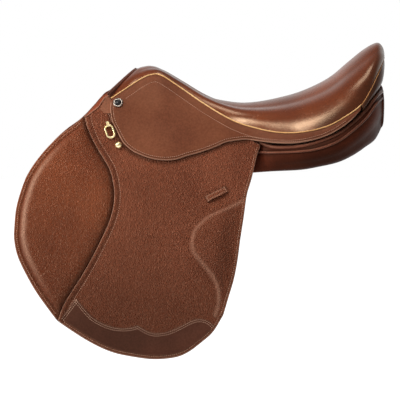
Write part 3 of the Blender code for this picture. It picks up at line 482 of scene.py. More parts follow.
saddle_leather = hide("saddle_leather", dyed(112, 62, 40), dyed(92, 48, 32), 0.55)
bridle_leather = hide("bridle_leather", dyed(84, 42, 28), dyed(64, 30, 20), 0.4, polish=0.15)
strap_web = finish("strap_web", Roughness=0.92)
ribs = bands(strap_web, place_on(strap_web), "X", 300.0, Distortion=1.0)
surface(strap_web, ribs, dyed(96, 66, 48), dyed(150, 112, 84), ribs, 0.5, 0.0004)
bar_steel = finish("forged_steel", Metallic=1.0)
place = place_on(bar_steel)
scratch = speckle(bar_steel, coat(bar_steel, "Mapping", 0, Vector=place, Scale=(60, 700, 700)), 1.0, 4.0)
surface(bar_steel, scratch, dyed(190, 190, 194), dyed(150, 150, 156), scratch, 0.1,
        Roughness=graded(bar_steel, scratch, *MOST_NOISE, 0.2, 0.38))
for side, word in SIDES:
    for part, made_of in (("sweat_flap_", saddle_leather), ("point_pocket_", bridle_leather),
                          ("girth_web_", strap_web), ("buckle_guard_", saddle_leather),
                          ("stirrup_bar_", bar_steel), ("bar_catch_", bar_steel),
                          ("girth_strap_front_", bridle_leather), ("girth_strap_middle_", bridle_leather),
                          ("girth_strap_rear_", bridle_leather)):
        dress(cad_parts[part + word], made_of)

# The seat: one piece of waxed calf, blocked wet over a foam dish on the webbing. It is drawn down into the
# welts on both sides, so that the stuffing swells beside them, and its edge rolls under.

# Each station is (x, z) of the middle, (x, y, z) of the welt and the dip between them, in millimetres.
SEAT = [
    ((-152, 165), (-194, 72, 120), 0), ((-149, 168), (-171, 66, 135), 0), ((-142, 170), (-151, 56, 148), 0),
    ((-130, 171), (-132, 50, 157), 0), ((-114, 166), (-113, 52, 157), 0), ((-81, 147), (-81, 59, 137), 1),
    ((-41, 124), (-41, 71, 110), 2), ((2, 115), (1, 84, 86), 3), ((35, 115), (33, 96, 75), 4),
    ((77, 123), (75, 115, 67), 5), ((119, 136), (115, 129, 68), 6), ((162, 157), (156, 133, 78), 6),
    ((195, 183), (189, 129, 96), 5), ((217, 199), (209, 121, 111), 3), ((233, 207), (224, 107, 133), 1),
    ((244, 209), (236, 86, 155), 0), ((251, 202), (246, 56, 174), 0), ((254, 192), (252, 14, 185), 0),
]
SEAT_CROWN = 2.2
NOSE_SWEEP = 1.6
SEAT_ROLL = [(0, 0.0006), (3, 0.0020), (6, 0.0060), (8, 0.0085), (11, 0.0090), (14, 0.0060), (17, 0.0010)]
ROLL_FROM = 0.5
ROLL_LEAN = 1.35
SEAT_DEPTH = 0.0122
SEAT_EDGE_DEPTH = 0.0028
SEAT_DEPTH_FALL = 8
SEAT_UNDER_SHARE = 0.985
STATION_STEPS = 6
SEAT_HALF_STEPS = 30
SLOPE_STEP = 0.01
SEAT_SHADE = (0.026, 0.75)
SEAT_SHADE_FROM = 11
LAST_STATION = len(SEAT) - 1


def seat_station(u):
    """The seat's measures at any place between its stations, in metres."""
    i = min(int(u), LAST_STATION - 1)
    rows = [SEAT[max(i - 1, 0)], SEAT[i], SEAT[i + 1], SEAT[min(i + 2, LAST_STATION)]]
    return [0.0005 * v for v in twice_curve([(*row[0], *row[1], row[2]) for row in rows], u - i)]


def seat_surface(u, t):
    """A point on the seat without its roll: at station u, and across from the near welt at -1 to the off at 1."""
    middle_x, middle_z, welt_x, welt_y, welt_z, dip = seat_station(u)
    share = abs(t)
    x = middle_x + (welt_x - middle_x) * share**NOSE_SWEEP
    z = middle_z - (middle_z - welt_z) * share**SEAT_CROWN - dip * (1 - share**2) ** 2
    return Vector((x, welt_y * t, z))


def seat_normal(u, t):
    along = seat_surface(min(u + SLOPE_STEP, LAST_STATION), t) - seat_surface(max(u - SLOPE_STEP, 0), t)
    across = seat_surface(u, t + SLOPE_STEP) - seat_surface(u, t - SLOPE_STEP)
    return along.cross(across).normalized()


def stepped(table, value):
    """A value read from a table of (place, value) with straight lines between."""
    for (a, first), (b, second) in zip(table, table[1:]):
        if value <= b:
            return first + (second - first) * max(0.0, (value - a) / (b - a))
    return table[-1][1]


def seat_roll(u, t):
    """How far the stuffing stands proud: it swells beside the welt and is drawn in by it."""
    share = max(0.0, (abs(t) - ROLL_FROM) / (1 - ROLL_FROM))
    return stepped(SEAT_ROLL, u) * math.sin(math.pi * share**ROLL_LEAN)


seat_calf = hide("seat_calf", dyed(122, 56, 27), dyed(92, 38, 18), 0.24, pores=0.07, shine=0.9)
seat_rows = []
for i in range(STATION_STEPS * LAST_STATION + 1):
    u = i / STATION_STEPS
    top, low = [], []
    for j in range(-SEAT_HALF_STEPS, SEAT_HALF_STEPS + 1):
        t = math.sin(j / SEAT_HALF_STEPS * math.pi / 2)
        top.append(seat_surface(u, t) + seat_normal(u, t) * seat_roll(u, t))
        inner = t * SEAT_UNDER_SHARE
        depth = SEAT_EDGE_DEPTH + (SEAT_DEPTH - SEAT_EDGE_DEPTH) * (1 - abs(t) ** SEAT_DEPTH_FALL)
        low.append(seat_surface(u, inner) - seat_normal(u, inner) * depth)
    seat_rows.append(top + low[::-1])
seat = loft("seat_cushion", seat_rows, seat_calf)
# Painted shade on the seat beside the welts, from the waist back towards the cantle.
rear_edges = [[seat_surface(SEAT_SHADE_FROM + i / 20, t) for i in range(120)] for t in (-1, 1)]
darken(seat, rear_edges, *SEAT_SHADE)
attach(seat, "saddle")
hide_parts("seat_cover", "seat_foam")

# The flaps: one thick grained hide on each side, hung from the tree under the skirt. A second hide covers all of
# it behind the S-shaped seam, with a turned edge that stands over the knee pad and a row of stitching behind it.

FLAP_FRONT = [(-238, -92), (-252, -78), (-273, -62), (-292, -44), (-308, -25), (-323, -3), (-334, 20),
              (-345, 59), (-348, 92), (-348, 114), (-342, 141), (-328, 171), (-312, 199), (-293, 226),
              (-277, 247)]
FLAP_FOOT = [(-277, 247), (-232, 277), (-191, 297), (-150, 306), (-120, 309), (-89, 306), (-69, 298),
             (-49, 283), (-29, 265), (-14, 240)]
FLAP_REAR = [(-13, 240), (-4, 209), (5, 178), (11, 146), (15, 115), (21, 76), (26, 40), (32, 19), (37, -1),
             (43, -27), (49, -43)]
FLAP_HEAD_TOP = [(49, -43), (28, -56), (-1, -66), (-60, -74), (-181, -74)]
FLAP_HEAD_NOSE = [(-190, -86), (-197, -106), (-203, -120), (-209, -124), (-223, -109), (-238, -92)]
PAD_SEAM = [(-236, -90), (-232, -71), (-220, -44), (-205, -19), (-194, 2), (-188, 33), (-189, 59),
            (-196, 86), (-208, 114), (-221, 141), (-237, 171), (-255, 200), (-269, 225), (-275, 245)]
FLAP_OUT = 0.0115
HIDE_TOP = 0.0133
FACE_TOP = 0.0150
FACE_EDGE = 0.0012
SKIRT_EDGE = [(24, -52), (7, -50), (-8, -47), (-28, -38), (-50, -30), (-71, -24), (-89, -18), (-111, -17),
              (-133, -21), (-156, -31), (-171, -43), (-177, -52), (-185, -68), (-192, -83), (-195, -100)]
TURNED_EDGE = (0.0035, 0.0085)
SEAM_RISE = 0.0022
SEAM_HEAD = (-0.09, -0.07)
SEAM_SIDE = 0.004
SEAM_STITCH = 0.0098
EDGE_STITCH = 0.0040
STITCH_GROOVE = (0.0005, 0.0012)
EDGE_GROOVE = 0.00025
EDGE_WORN = (0.0005, 0.0018)
SEAM_SHADE = (0.0068, 0.45, 0.0022)
SEAM_SHADE_FROM = 0.003
SKIRT_SHADOW = (0.003, 0.0085)
BACK_GAP = 0.00005
UNDER_EDGE = 0.0008
EDGE_LIP = 0.0004
WELL_INSIDE = 1.0


def metres(points):
    """Places on the side plane from millimetres."""
    return [(x * 0.001, down * 0.001) for x, down in points]


def drawn(points, steps=6):
    """A smooth curve on the side plane through places in millimetres."""
    return smooth_run(metres(points), steps)


def evenly(points, step, closed=True):
    """The same line with its points at even steps."""
    line = list(points) + ([points[0]] if closed else [])
    total = sum(math.dist(a, b) for a, b in zip(line, line[1:]))
    count = max(2, round(total / step))
    made, walked, next_at = [], 0.0, 0.0
    for a, b in zip(line, line[1:]):
        length = math.dist(a, b)
        while length and next_at <= walked + length + 1e-9 and len(made) < count:
            t = (next_at - walked) / length
            made.append(tuple(p + (q - p) * t for p, q in zip(a, b)))
            next_at += total / count
        walked += length
    return made if closed else made + [tuple(line[-1])]


def eased(points, rounds):
    """A closed outline with each point drawn towards its neighbours, this many times."""
    for _ in range(rounds):
        count = len(points)
        points = [tuple((points[i - 1][k] + 2 * points[i][k] + points[(i + 1) % count][k]) / 4 for k in (0, 1))
                  for i in range(count)]
    return points


def outline_of(points, rounds, step=0.002):
    """A closed outline of even steps, its corners rounded a little."""
    return eased(evenly(points, step), rounds)


def anticlockwise(points):
    """A closed outline, turned round if it runs clockwise."""
    area = sum(a[0] * b[1] - b[0] * a[1] for a, b in zip(points, points[1:] + points[:1]))
    return points if area > 0 else points[::-1]


def inset(points, distance):
    """An anticlockwise outline moved inwards by a distance."""
    made = []
    for i, (x, y) in enumerate(points):
        (x0, y0), (x1, y1) = points[i - 1], points[(i + 1) % len(points)]
        length = math.hypot(x1 - x0, y1 - y0)
        made.append((x - (y1 - y0) / length * distance, y + (x1 - x0) / length * distance))
    return made


def reach_of(line, closed=False):
    """A measure of how far any point is from this line."""
    tree = KDTree(len(line))
    for i, (x, y) in enumerate(line):
        tree.insert((x, y, 0), i)
    tree.balance()

    def measure(x, y):
        _, i, _ = tree.find((x, y, 0))
        best = 1e9
        for a, b in ((i - 1, i), (i, i + 1)):
            if closed:
                a, b = a % len(line), b % len(line)
            elif a < 0 or b >= len(line):
                continue
            (x0, y0), (x1, y1) = line[a], line[b]
            size = (x1 - x0) ** 2 + (y1 - y0) ** 2
            t = min(1.0, max(0.0, ((x - x0) * (x1 - x0) + (y - y0) * (y1 - y0)) / size)) if size else 0.0
            best = min(best, math.hypot(x - x0 - (x1 - x0) * t, y - y0 - (y1 - y0) * t))
        return best
    return measure


def filled(ring, loose):
    """Triangles that fill a closed outline and pass through the loose points inside it."""
    flat = [Vector((x * 1000, y * 1000)) for x, y in ring + loose]
    points, _, faces, origins, _, _ = delaunay_2d_cdt(flat, [], [list(range(len(ring)))], 1, 1e-5)
    names = []
    extra = []
    for point, origin in zip(points, origins):
        if origin:
            names.append(min(origin))
        else:
            names.append(len(flat) + len(extra))
            extra.append((point.x / 1000, point.y / 1000))
    return [[names[i] for i in face] for face in faces], extra


def grid_inside(ring, measure, pitch, margin):
    """Points on a staggered grid inside an outline, each at least a margin from it."""
    lowest, highest = min(y for _, y in ring), max(y for _, y in ring)
    made = []
    row = 0
    y = lowest + pitch / 2
    while y < highest:
        crossings = []
        for (x0, y0), (x1, y1) in zip(ring, ring[1:] + ring[:1]):
            if (y0 <= y) != (y1 <= y):
                crossings.append(x0 + (x1 - x0) * (y - y0) / (y1 - y0))
        crossings.sort()
        for start, end in zip(crossings[::2], crossings[1::2]):
            x = math.floor(start / pitch) * pitch + (pitch / 2 if row % 2 else 0)
            while x < end:
                if x > start and measure(x, y) > margin:
                    made.append((x, y))
                x += pitch
        y += pitch * 0.87
        row += 1
    return made


def cut_leather(name, side, outline, face, back, materials, rings=(0.0004, 0.0012), lines=(), pitch=0.0035,
                marks=None, back_pitch=0.008):
    """A closed piece of leather on the side plane. face and back give how far out it stands at each place, from
    its x, how far down it is and how far from its own edge. marks gives its wear and painted highlight, and its
    painted shade, at each place."""
    ring = anticlockwise(outline)
    edge = reach_of(ring, closed=True)
    spots, faces, finishes = [], [], []

    def add(points, height):
        start = len(spots)
        for x, down in points:
            e = edge(x, down)
            spots.append((x, down, height(x, down, e), e))
        return start

    count = len(ring)
    loops = [add(ring, face)]
    last = ring
    for width in rings:
        last = inset(ring, width)
        loops.append(add(last, face))
    loose = []
    for width in lines:
        loose += [p for p in inset(ring, width) if edge(*p) > width * 0.94]
    nearest = max(lines) if lines else rings[-1]
    loose += grid_inside(ring, edge, pitch, nearest + pitch * 0.55)
    fill, extra = filled(last, loose)
    start = add(loose + extra, face)
    for triangle in fill:
        faces.append([loops[-1] + i if i < count else start + i - count for i in triangle])
        finishes.append(0)
    foot = add(ring, lambda x, down, e: back(x, down, e) + EDGE_LIP)
    under = inset(ring, UNDER_EDGE)
    low = add(under, back)
    loose = grid_inside(ring, edge, back_pitch, UNDER_EDGE + back_pitch * 0.5)
    fill, extra = filled(under, loose)
    start = add(loose + extra, back)
    for triangle in fill:
        faces.append([low + i if i < count else start + i - count for i in triangle][::-1])
        finishes.append(1)
    walls = [(a, b, 0) for a, b in zip(loops, loops[1:])] + [(foot, loops[0], 1), (low, foot, 1)]
    for a, b, made_of in walls:
        for i in range(count):
            j = (i + 1) % count
            faces.append([a + i, a + j, b + j, b + i])
            finishes.append(made_of)
    data = bpy.data.meshes.new(name)
    data.from_pydata([side_point(side, x, down, out) for x, down, out, _ in spots], [], faces)
    data.polygons.foreach_set("material_index", finishes)
    marked = [marks(x, down, e) if marks else (0.0, 0.0) for x, down, _, e in spots]
    for mark, values in zip(("wear_and_highlight", "crease_and_shade"), zip(*marked)):
        data.attributes.new(mark, "FLOAT", "POINT").data.foreach_set("value", values)
    turn_outwards(data)
    return set_out(name, data, *materials)


def edge_drop(e, radius):
    """How far a rounded edge has fallen at a distance from it."""
    return 0.0 if e >= radius else radius - math.sqrt(max(0.0, radius**2 - (radius - e) ** 2))


def edge_crease(e, at, depth, width=0.0009):
    """A line pressed into the leather beside its edge."""
    return depth * math.exp(-((e - at) / width) ** 2)


def bend_flap(piece):
    """Bakes a piece's place into its mesh."""
    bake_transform(piece)


pad_seam = drawn(PAD_SEAM)
flap_front = drawn(FLAP_FRONT)
flap_foot = drawn(FLAP_FOOT)
flap_rear = drawn(FLAP_REAR)
flap_top = metres(FLAP_HEAD_TOP)
flap_nose = drawn(FLAP_HEAD_NOSE)
from_seam = reach_of(evenly(pad_seam, 0.001, closed=False))
skirt_edge = drawn(SKIRT_EDGE)
from_skirt = reach_of(evenly(skirt_edge, 0.002, closed=False))
flap_outline = outline_of(flap_nose + flap_front[1:] + flap_foot[1:] + flap_rear + flap_top[1:], 5)
face_outline = outline_of(pad_seam + flap_foot + flap_rear + flap_top[1:] + flap_nose, 4)


def wave(x, down):
    """The slow unevenness of a hide."""
    return 0.00035 * math.sin(x * 41 + down * 23) + 0.00025 * math.sin(x * 17 - down * 57 + 1.3)


def flap_face(x, down, e):
    """How far out the flap's face stands: raised along its turned edge, with a groove for each row of thread."""
    seam = from_seam(x, down)
    rise = SEAM_RISE * fade(seam, *TURNED_EDGE) * soft_step(down, *SEAM_HEAD)
    groove = 0.0 if seam < SEAM_SIDE else edge_crease(seam, SEAM_STITCH, *STITCH_GROOVE)
    height = FACE_TOP + wave(x, down) + rise - groove
    return height - edge_drop(e, FACE_EDGE) - edge_crease(e, EDGE_STITCH, EDGE_GROOVE)


def plain_face(x, down):
    """The flap's face without its own rounded edge."""
    return flap_face(x, down, WELL_INSIDE)


# The flap's marks: real wear on its cut edge, painted shade in the band beside the S-seam's turned edge, and
# painted shadow under the skirt's edge.
def flap_marks(x, down, e):
    seam = from_seam(x, down)
    wear_and_highlight = 0.9 * fade(e, *EDGE_WORN)
    beside = edge_crease(seam, *SEAM_SHADE) if seam > SEAM_SHADE_FROM else 0.0
    under_skirt = 0.95 * fade(from_skirt(x, down), *SKIRT_SHADOW)
    return wear_and_highlight, max(beside, under_skirt)


flap_grain = hide("grained_hide", dyed(146, 79, 54), dyed(121, 61, 40), 0.42, cell=0.0036, pebble=0.78, foot=0.75,
                  shine=0.3)
cut_edge = hide("burnished_edge", dyed(122, 78, 62), dyed(96, 58, 46), 0.5)
for side, word in SIDES:
    under = cut_leather("flap_hide_" + word, side, flap_outline,
                        lambda x, down, e: HIDE_TOP - edge_drop(e, UNDER_EDGE), lambda x, down, e: FLAP_OUT,
                        (flap_grain, cut_edge), pitch=0.007)
    over = cut_leather("flap_face_" + word, side, face_outline, flap_face,
                       lambda x, down, e: HIDE_TOP + BACK_GAP, (flap_grain, cut_edge),
                       lines=(0.0022, 0.0034, 0.0050, 0.0070, 0.0095), marks=flap_marks)
    for piece in (under, over):
        bend_flap(piece)
    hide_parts("flap_" + word, "flap_head_" + word)

# The flap's stitching: waxed linen thread, sewn through both hides with two needles so that every stitch lies at
# a slant. It runs in a groove behind the S-shaped seam and along the flap's cut edge.

THREAD_PITCH = 0.0033
THREAD_LENGTH = 0.0024
THREAD_WIDTH = 0.0008
THREAD_SLANT = math.radians(10)
FACE_STEP = 0.0006
ROW_GAP = 0.01
EDGE_ROW_CLEAR = (0.009, 0.006)
HEAD_ROW_CLEAR = 0.006
HEAD_ROW_REACH = 0.0046
HEAD_ROW_END = -0.19

bpy.ops.object.select_all(action="DESELECT")
bpy.ops.mesh.primitive_uv_sphere_add(segments=6, ring_count=5, radius=0.5)
stitch = bpy.context.object
bpy.ops.object.mode_set(mode="EDIT")
bpy.ops.mesh.select_all(action="SELECT")
bpy.ops.transform.rotate(value=math.pi / 2, orient_axis="Y", center_override=(0, 0, 0))
bpy.ops.transform.resize(value=(THREAD_LENGTH, THREAD_WIDTH, THREAD_WIDTH * 0.9))
bpy.ops.object.mode_set(mode="OBJECT")
bpy.ops.object.transform_apply()
stitch_points = [vertex.co.copy() for vertex in stitch.data.vertices]
stitch_faces = [tuple(face.vertices) for face in stitch.data.polygons]
bpy.data.objects.remove(stitch)


def sewn(name, side, face, *lines):
    """Stitches along lines on the side plane, lying on the leather's face."""
    points, faces = [], []
    for place, along, out in [spot for line in lines for spot in on_leather(side, line, face)]:
        across = out.cross(along).normalized()
        along = (along.normalized() * math.cos(THREAD_SLANT) + across * math.sin(THREAD_SLANT)).normalized()
        across = out.cross(along).normalized()
        start = len(points)
        points += [place + along * p.x + across * p.y + out * p.z for p in stitch_points]
        faces += [tuple(start + i for i in face) for face in stitch_faces]
    data = bpy.data.meshes.new(name)
    data.from_pydata(points, [], faces)
    return set_out(name, data, thread)


def on_leather(side, line, face):
    """The place of each stitch along a line, with the line's direction there and the way out."""
    def spot(x, down):
        return side_point(side, x, down, face(x, down, WELL_INSIDE))

    spots = evenly(line, THREAD_PITCH, closed=False)
    rows = []
    for i, (x, down) in enumerate(spots):
        place = spot(x, down)
        along = spot(*spots[min(i + 1, len(spots) - 1)]) - spot(*spots[max(i - 1, 0)])
        right, low = spot(x + FACE_STEP, down) - place, spot(x, down + FACE_STEP) - place
        out = right.cross(low).normalized() * side
        if out.dot(side_point(side, x, down, 1) - place) < 0:
            out = -out
        rows.append((place, along, out))
    return rows


def from_gap(points):
    """A closed run of places, turned so that it starts after the gap in it."""
    start = next(i for i, p in enumerate(points) if math.dist(p, points[i - 1]) > ROW_GAP)
    return points[start:] + points[:start]


def beside(line, distance):
    """A line moved sideways, to the left of its direction in (x, down)."""
    made = []
    for i, (x, y) in enumerate(line):
        (x0, y0), (x1, y1) = line[max(i - 1, 0)], line[min(i + 1, len(line) - 1)]
        length = math.hypot(x1 - x0, y1 - y0)
        made.append((x + (y1 - y0) / length * distance, y - (x1 - x0) / length * distance))
    return made


thread = finish("waxed_thread", Roughness=0.55)
fibre = speckle(thread, place_on(thread), 1500.0, 2.0)
surface(thread, fibre, dyed(214, 170, 142), dyed(170, 120, 92), fibre, 0.4)
seam_stitches = beside(evenly(pad_seam, 0.002, closed=False), SEAM_STITCH)
edge_line = inset(anticlockwise(face_outline), EDGE_STITCH)
from_top = reach_of(evenly(flap_top + flap_nose[:-1], 0.002, closed=False))
edge_stitches = from_gap([p for p in edge_line
                          if from_seam(*p) > EDGE_ROW_CLEAR[0] and from_top(*p) > EDGE_ROW_CLEAR[1]])
head_stitches = [p for p in edge_line
                 if from_top(*p) < HEAD_ROW_REACH and p[0] < HEAD_ROW_END and from_seam(*p) > HEAD_ROW_CLEAR]
for side, word in SIDES:
    piece = sewn("flap_stitches_" + word, side, flap_face, seam_stitches, edge_stitches, head_stitches)
    bend_flap(piece)

# The knee pads: foam under a softer cut of the same hide, bound along the front with a stitched band and tucked
# under the flap's S-shaped edge at the back.

BAND_WIDTH = 0.0082
BAND_TOP = 0.0163
BAND_STITCH = 0.0046
PAD_BASE = 0.0146
PAD_CROWN = 0.0098
PAD_SHOULDER = 0.0135
PAD_FALL = (0.02, 0.10)
PAD_FALL_SHARE = 0.3
PAD_TUCK = 0.021
PAD_TUCK_HEIGHT = 0.0003
PAD_INSET = 0.0002
BAND_ROW_CLEAR = 0.007
BAND_EDGES = (0.0022, 0.0016)
BAND_GROOVE = (0.0004, 0.0012)
BAND_WORN = (0.0004, 0.0016)
PAD_HIGHLIGHT = (0.0155, 0.9, 0.0036)
PAD_HIGHLIGHT_TOP = (-0.06, 0.02)
PAD_HIGHLIGHT_FOOT = (0.10, 0.22)
BAND_DARK = (0.55, 0.0012)
TUCK_DARK = (0.002, 0.008)
TUCK_SHADE = (0.004, 0.032)
PAD_LINES = (0.0024, 0.0036, 0.0046, 0.0058, 0.0070, 0.0077, 0.0083, 0.0090, 0.0100, 0.0115, 0.0135, 0.0160,
             0.0190)

from_front = reach_of(evenly(flap_front, 0.001, closed=False))
pad_outline = inset(anticlockwise(outline_of(flap_front + pad_seam[::-1], 2)), PAD_INSET)


def round_rise(distance, width):
    """A quarter of an ellipse: steep at first, level at its width."""
    share = min(1.0, max(0.0, distance / width))
    return math.sqrt(1 - (1 - share) ** 2)


def pad_face(x, down, e):
    front, seam = from_front(x, down), from_seam(x, down)
    if front < BAND_WIDTH:
        height = BAND_TOP - edge_drop(front, BAND_EDGES[0]) - edge_drop(BAND_WIDTH - front, BAND_EDGES[1])
        height -= edge_crease(front, BAND_STITCH, *BAND_GROOVE)
    else:
        rise = round_rise(front - BAND_WIDTH, PAD_SHOULDER) * (1 - PAD_FALL_SHARE * soft_step(front, *PAD_FALL))
        height = PAD_BASE + PAD_CROWN * rise + wave(x, down) * 2
    tuck = round_rise(seam, PAD_TUCK)
    return HIDE_TOP + PAD_TUCK_HEIGHT + (height - HIDE_TOP - PAD_TUCK_HEIGHT) * tuck


# The knee pad's marks: real wear on the binding band's edge, a painted highlight along the pad's shoulder, and
# painted shade in the groove behind the band and beside the S-seam where the pad tucks under.
def pad_marks(x, down, e):
    front, seam = from_front(x, down), from_seam(x, down)
    shoulder_highlight = edge_crease(front, *PAD_HIGHLIGHT) * soft_step(down, *PAD_HIGHLIGHT_TOP) * fade(down, *PAD_HIGHLIGHT_FOOT)
    wear_and_highlight = 0.8 * fade(front, *BAND_WORN) + shoulder_highlight
    dark = edge_crease(front, BAND_WIDTH, *BAND_DARK) + 0.95 * fade(seam, *TUCK_DARK)
    dark += 0.3 * fade(seam, *TUCK_SHADE)
    return wear_and_highlight, min(1.0, dark)


pad_grain = hide("knee_pad_hide", dyed(140, 70, 40), dyed(115, 52, 29), 0.38, cell=0.0034, pebble=0.6, foot=0.75,
                 shine=0.34)
band_line = beside(evenly(flap_front, 0.002, closed=False), BAND_STITCH)
band_line = [p for p in band_line if from_seam(*p) > BAND_ROW_CLEAR]
for side, word in SIDES:
    pad = cut_leather("knee_cushion_" + word, side, pad_outline, pad_face,
                      lambda x, down, e: HIDE_TOP + BACK_GAP, (pad_grain, cut_edge), lines=PAD_LINES,
                      marks=pad_marks)
    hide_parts("knee_pad_" + word, "knee_pad_top_" + word)
    bend_flap(pad)
    band = sewn("knee_band_stitches_" + word, side, pad_face, band_line)
    bend_flap(band)

# The thigh blocks: blocks of firm foam glued behind the rider's thigh, under the flap's own hide. The hide is
# moulded down over them wet, so they have no seam of their own.

THIGH_SEAM = [(24, 40), (6, 50), (-11, 59), (-26, 65), (-40, 73), (-53, 84), (-64, 98), (-68, 113), (-69, 123),
              (-66, 137), (-59, 148), (-49, 161), (-38, 174), (-30, 188), (-26, 204), (-27, 221), (-32, 237)]
BLOCK_FOOT = [(-32, 237), (-26, 243), (-16, 242)]
BLOCK_RISE = 0.0070
BLOCK_CROWN = 0.0024
BLOCK_WALL = 0.0095
BLOCK_CROWN_SPREAD = (0.004, 0.045)
BLOCK_END = 0.008
BLOCK_REAR_INSET = 0.005
BLOCK_ENDS = (0.040, 0.240)
BLOCK_GAP = 0.00004
BLOCK_SUNK = 0.0004
BLOCK_REAR_SLOPE = 0.034
BLOCK_HIGHLIGHT = (0.0065, 1, 0.003)
BLOCK_DARK = 0.004

block_seam = drawn(THIGH_SEAM, 4)
block_rear = [(x - BLOCK_REAR_INSET, down) for x, down in flap_rear if BLOCK_ENDS[0] < down < BLOCK_ENDS[1]]
block_outline = outline_of(block_seam + metres(BLOCK_FOOT)[1:] + block_rear, 6)
from_block_seam = reach_of(evenly(block_seam, 0.001, closed=False))
from_block_rear = reach_of(block_rear)


def block_face(x, down, e):
    seam = from_block_seam(x, down)
    height = BLOCK_RISE * soft_step(seam, 0, BLOCK_WALL) + BLOCK_CROWN * soft_step(seam, *BLOCK_CROWN_SPREAD)
    height *= soft_step(e, 0, BLOCK_END) * soft_step(from_block_rear(x, down), 0, BLOCK_REAR_SLOPE)
    return plain_face(x, down) + BLOCK_GAP + height


# A painted highlight along the thigh block's ridge and painted shade at its foot beside the seam.
def block_marks(x, down, e):
    seam = from_block_seam(x, down)
    return 0.5 * edge_crease(seam, *BLOCK_HIGHLIGHT), 0.35 * fade(seam, 0, BLOCK_DARK)


for side, word in SIDES:
    block = cut_leather("thigh_cushion_" + word, side, block_outline, block_face,
                        lambda x, down, e: FACE_TOP - BLOCK_SUNK, (flap_grain, flap_grain),
                        lines=(0.0022, 0.0034, 0.0046, 0.0060, 0.0075, 0.0090, 0.0110), marks=block_marks)
    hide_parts("thigh_block_" + word)
    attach(block, "flap_" + word)

# The wear patches: smooth dark calf over the flap's foot, where the rider's boot rubs, sewn down with two rows
# along its scalloped top and one down its front.

PATCH_TOP = [[(-271, 243), (-247, 210)],
             [(-247, 210), (-242, 217), (-222, 240), (-202, 252), (-181, 258), (-161, 258), (-149, 254)],
             [(-149, 254), (-134, 263), (-120, 267), (-100, 264), (-80, 255), (-60, 245), (-45, 244),
              (-33, 249), (-26, 256)]]
PATCH_FOOT = [(-26, 256), (-32, 264), (-51, 281), (-71, 295), (-90, 303), (-120, 305), (-149, 303),
              (-190, 293), (-230, 273), (-271, 246)]
PATCH_FOOT_INSET = 0.0016
PATCH_HEIGHT = 0.0009
PATCH_EDGE = 0.0006
PATCH_GROOVE = 0.0002
FACE_GAP = 0.00003
PATCH_STITCH = (0.0021, 0.0052)
PATCH_WORN = (0.0002, 0.0009)

patch_top = []
for run in PATCH_TOP:
    patch_top += drawn(run)[:-1]
patch_foot = beside(drawn(PATCH_FOOT), -PATCH_FOOT_INSET)
patch_outline = anticlockwise(outline_of(patch_top + patch_foot, 2))


def on_face(x, down, e):
    """The back of a piece that lies on the flap's face."""
    return plain_face(x, down) + FACE_GAP


def patch_face(x, down, e):
    top = plain_face(x, down) + PATCH_HEIGHT
    return top - edge_drop(e, PATCH_EDGE) - edge_crease(e, PATCH_STITCH[0], PATCH_GROOVE)


patch_calf = hide("patch_calf", dyed(80, 45, 34), dyed(64, 35, 26), 0.42)
patch_edge = evenly(patch_top, 0.002, closed=False)
patch_rows = [beside(patch_edge, -width) for width in PATCH_STITCH]
for side, word in SIDES:
    patch = cut_leather("wear_patch_calf_" + word, side, patch_outline, patch_face, on_face,
                        (patch_calf, cut_edge), lines=(0.0021, 0.0032), rings=(0.0003, 0.0007),
                        marks=lambda x, down, e: (0.15 * fade(e, *PATCH_WORN), 0.0))
    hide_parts("wear_patch_" + word)
    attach(patch, "flap_" + word)
    piece = sewn("patch_stitches_" + word, side, patch_face, *patch_rows)
    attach(piece, "flap_" + word)

# The keepers: a strip of strap leather sewn to the flap at both ends, with room under it for the end of a
# stirrup leather.

KEEPER_SIZE = (0.038, 0.0115)
KEEPER_AT = (-0.0232, 0.0394)
KEEPER_TILT = math.radians(27)
KEEPER_THICKNESS = 0.0023
KEEPER_LIFT = 0.0024
KEEPER_ARCH = (0.55, 0.95)
KEEPER_EDGE = 0.0007
KEEPER_GROOVE = (0.0019, 0.0003, 0.0006)
KEEPER_HIGHLIGHT = (0.0024, 0.6)
KEEPER_DARK = (0.0006, 0.0016)
KEEPER_STITCH = (0.0165, 0.004)


def keeper_place(along, across):
    return (KEEPER_AT[0] + along * math.cos(KEEPER_TILT) + across * math.sin(KEEPER_TILT),
            KEEPER_AT[1] - along * math.sin(KEEPER_TILT) + across * math.cos(KEEPER_TILT))


def keeper_back(x, down, e):
    along = (x - KEEPER_AT[0]) * math.cos(KEEPER_TILT) - (down - KEEPER_AT[1]) * math.sin(KEEPER_TILT)
    share = min(1.0, abs(along) / (KEEPER_SIZE[0] / 2))
    return plain_face(x, down) + BACK_GAP + KEEPER_LIFT * fade(share, *KEEPER_ARCH)


def keeper_face(x, down, e):
    top = keeper_back(x, down, e) + KEEPER_THICKNESS
    return top - edge_drop(e, KEEPER_EDGE) - edge_crease(e, *KEEPER_GROOVE)


corners = [keeper_place(a * KEEPER_SIZE[0] / 2, b * KEEPER_SIZE[1] / 2)
           for a, b in ((-1, -1), (1, -1), (1, 1), (-1, 1))]
keeper_outline = outline_of(corners, 2, 0.0008)
keeper_rows = [[keeper_place(a * KEEPER_STITCH[0], b * KEEPER_STITCH[1]) for b in (-1, 1)] for a in (-1, 1)]
# The keeper's marks: a painted highlight along its raised lip and painted shade along its cut edge.
for side, word in SIDES:
    keeper = cut_leather("keeper_strip_" + word, side, keeper_outline, keeper_face, keeper_back,
                         (flap_grain, cut_edge), lines=(0.0015, 0.0024), pitch=0.002, back_pitch=0.003,
                         marks=lambda x, down, e: (edge_crease(e, *KEEPER_HIGHLIGHT), fade(e, *KEEPER_DARK)))
    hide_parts("keeper_" + word)
    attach(keeper, "flap_" + word)
    piece = sewn("keeper_stitches_" + word, side, keeper_face, *keeper_rows)
    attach(piece, "flap_" + word)

# The heads of the flaps: a leaf of russet calf turned over each one's front edge, and a smooth tan piece let in
# between it and the skirt.

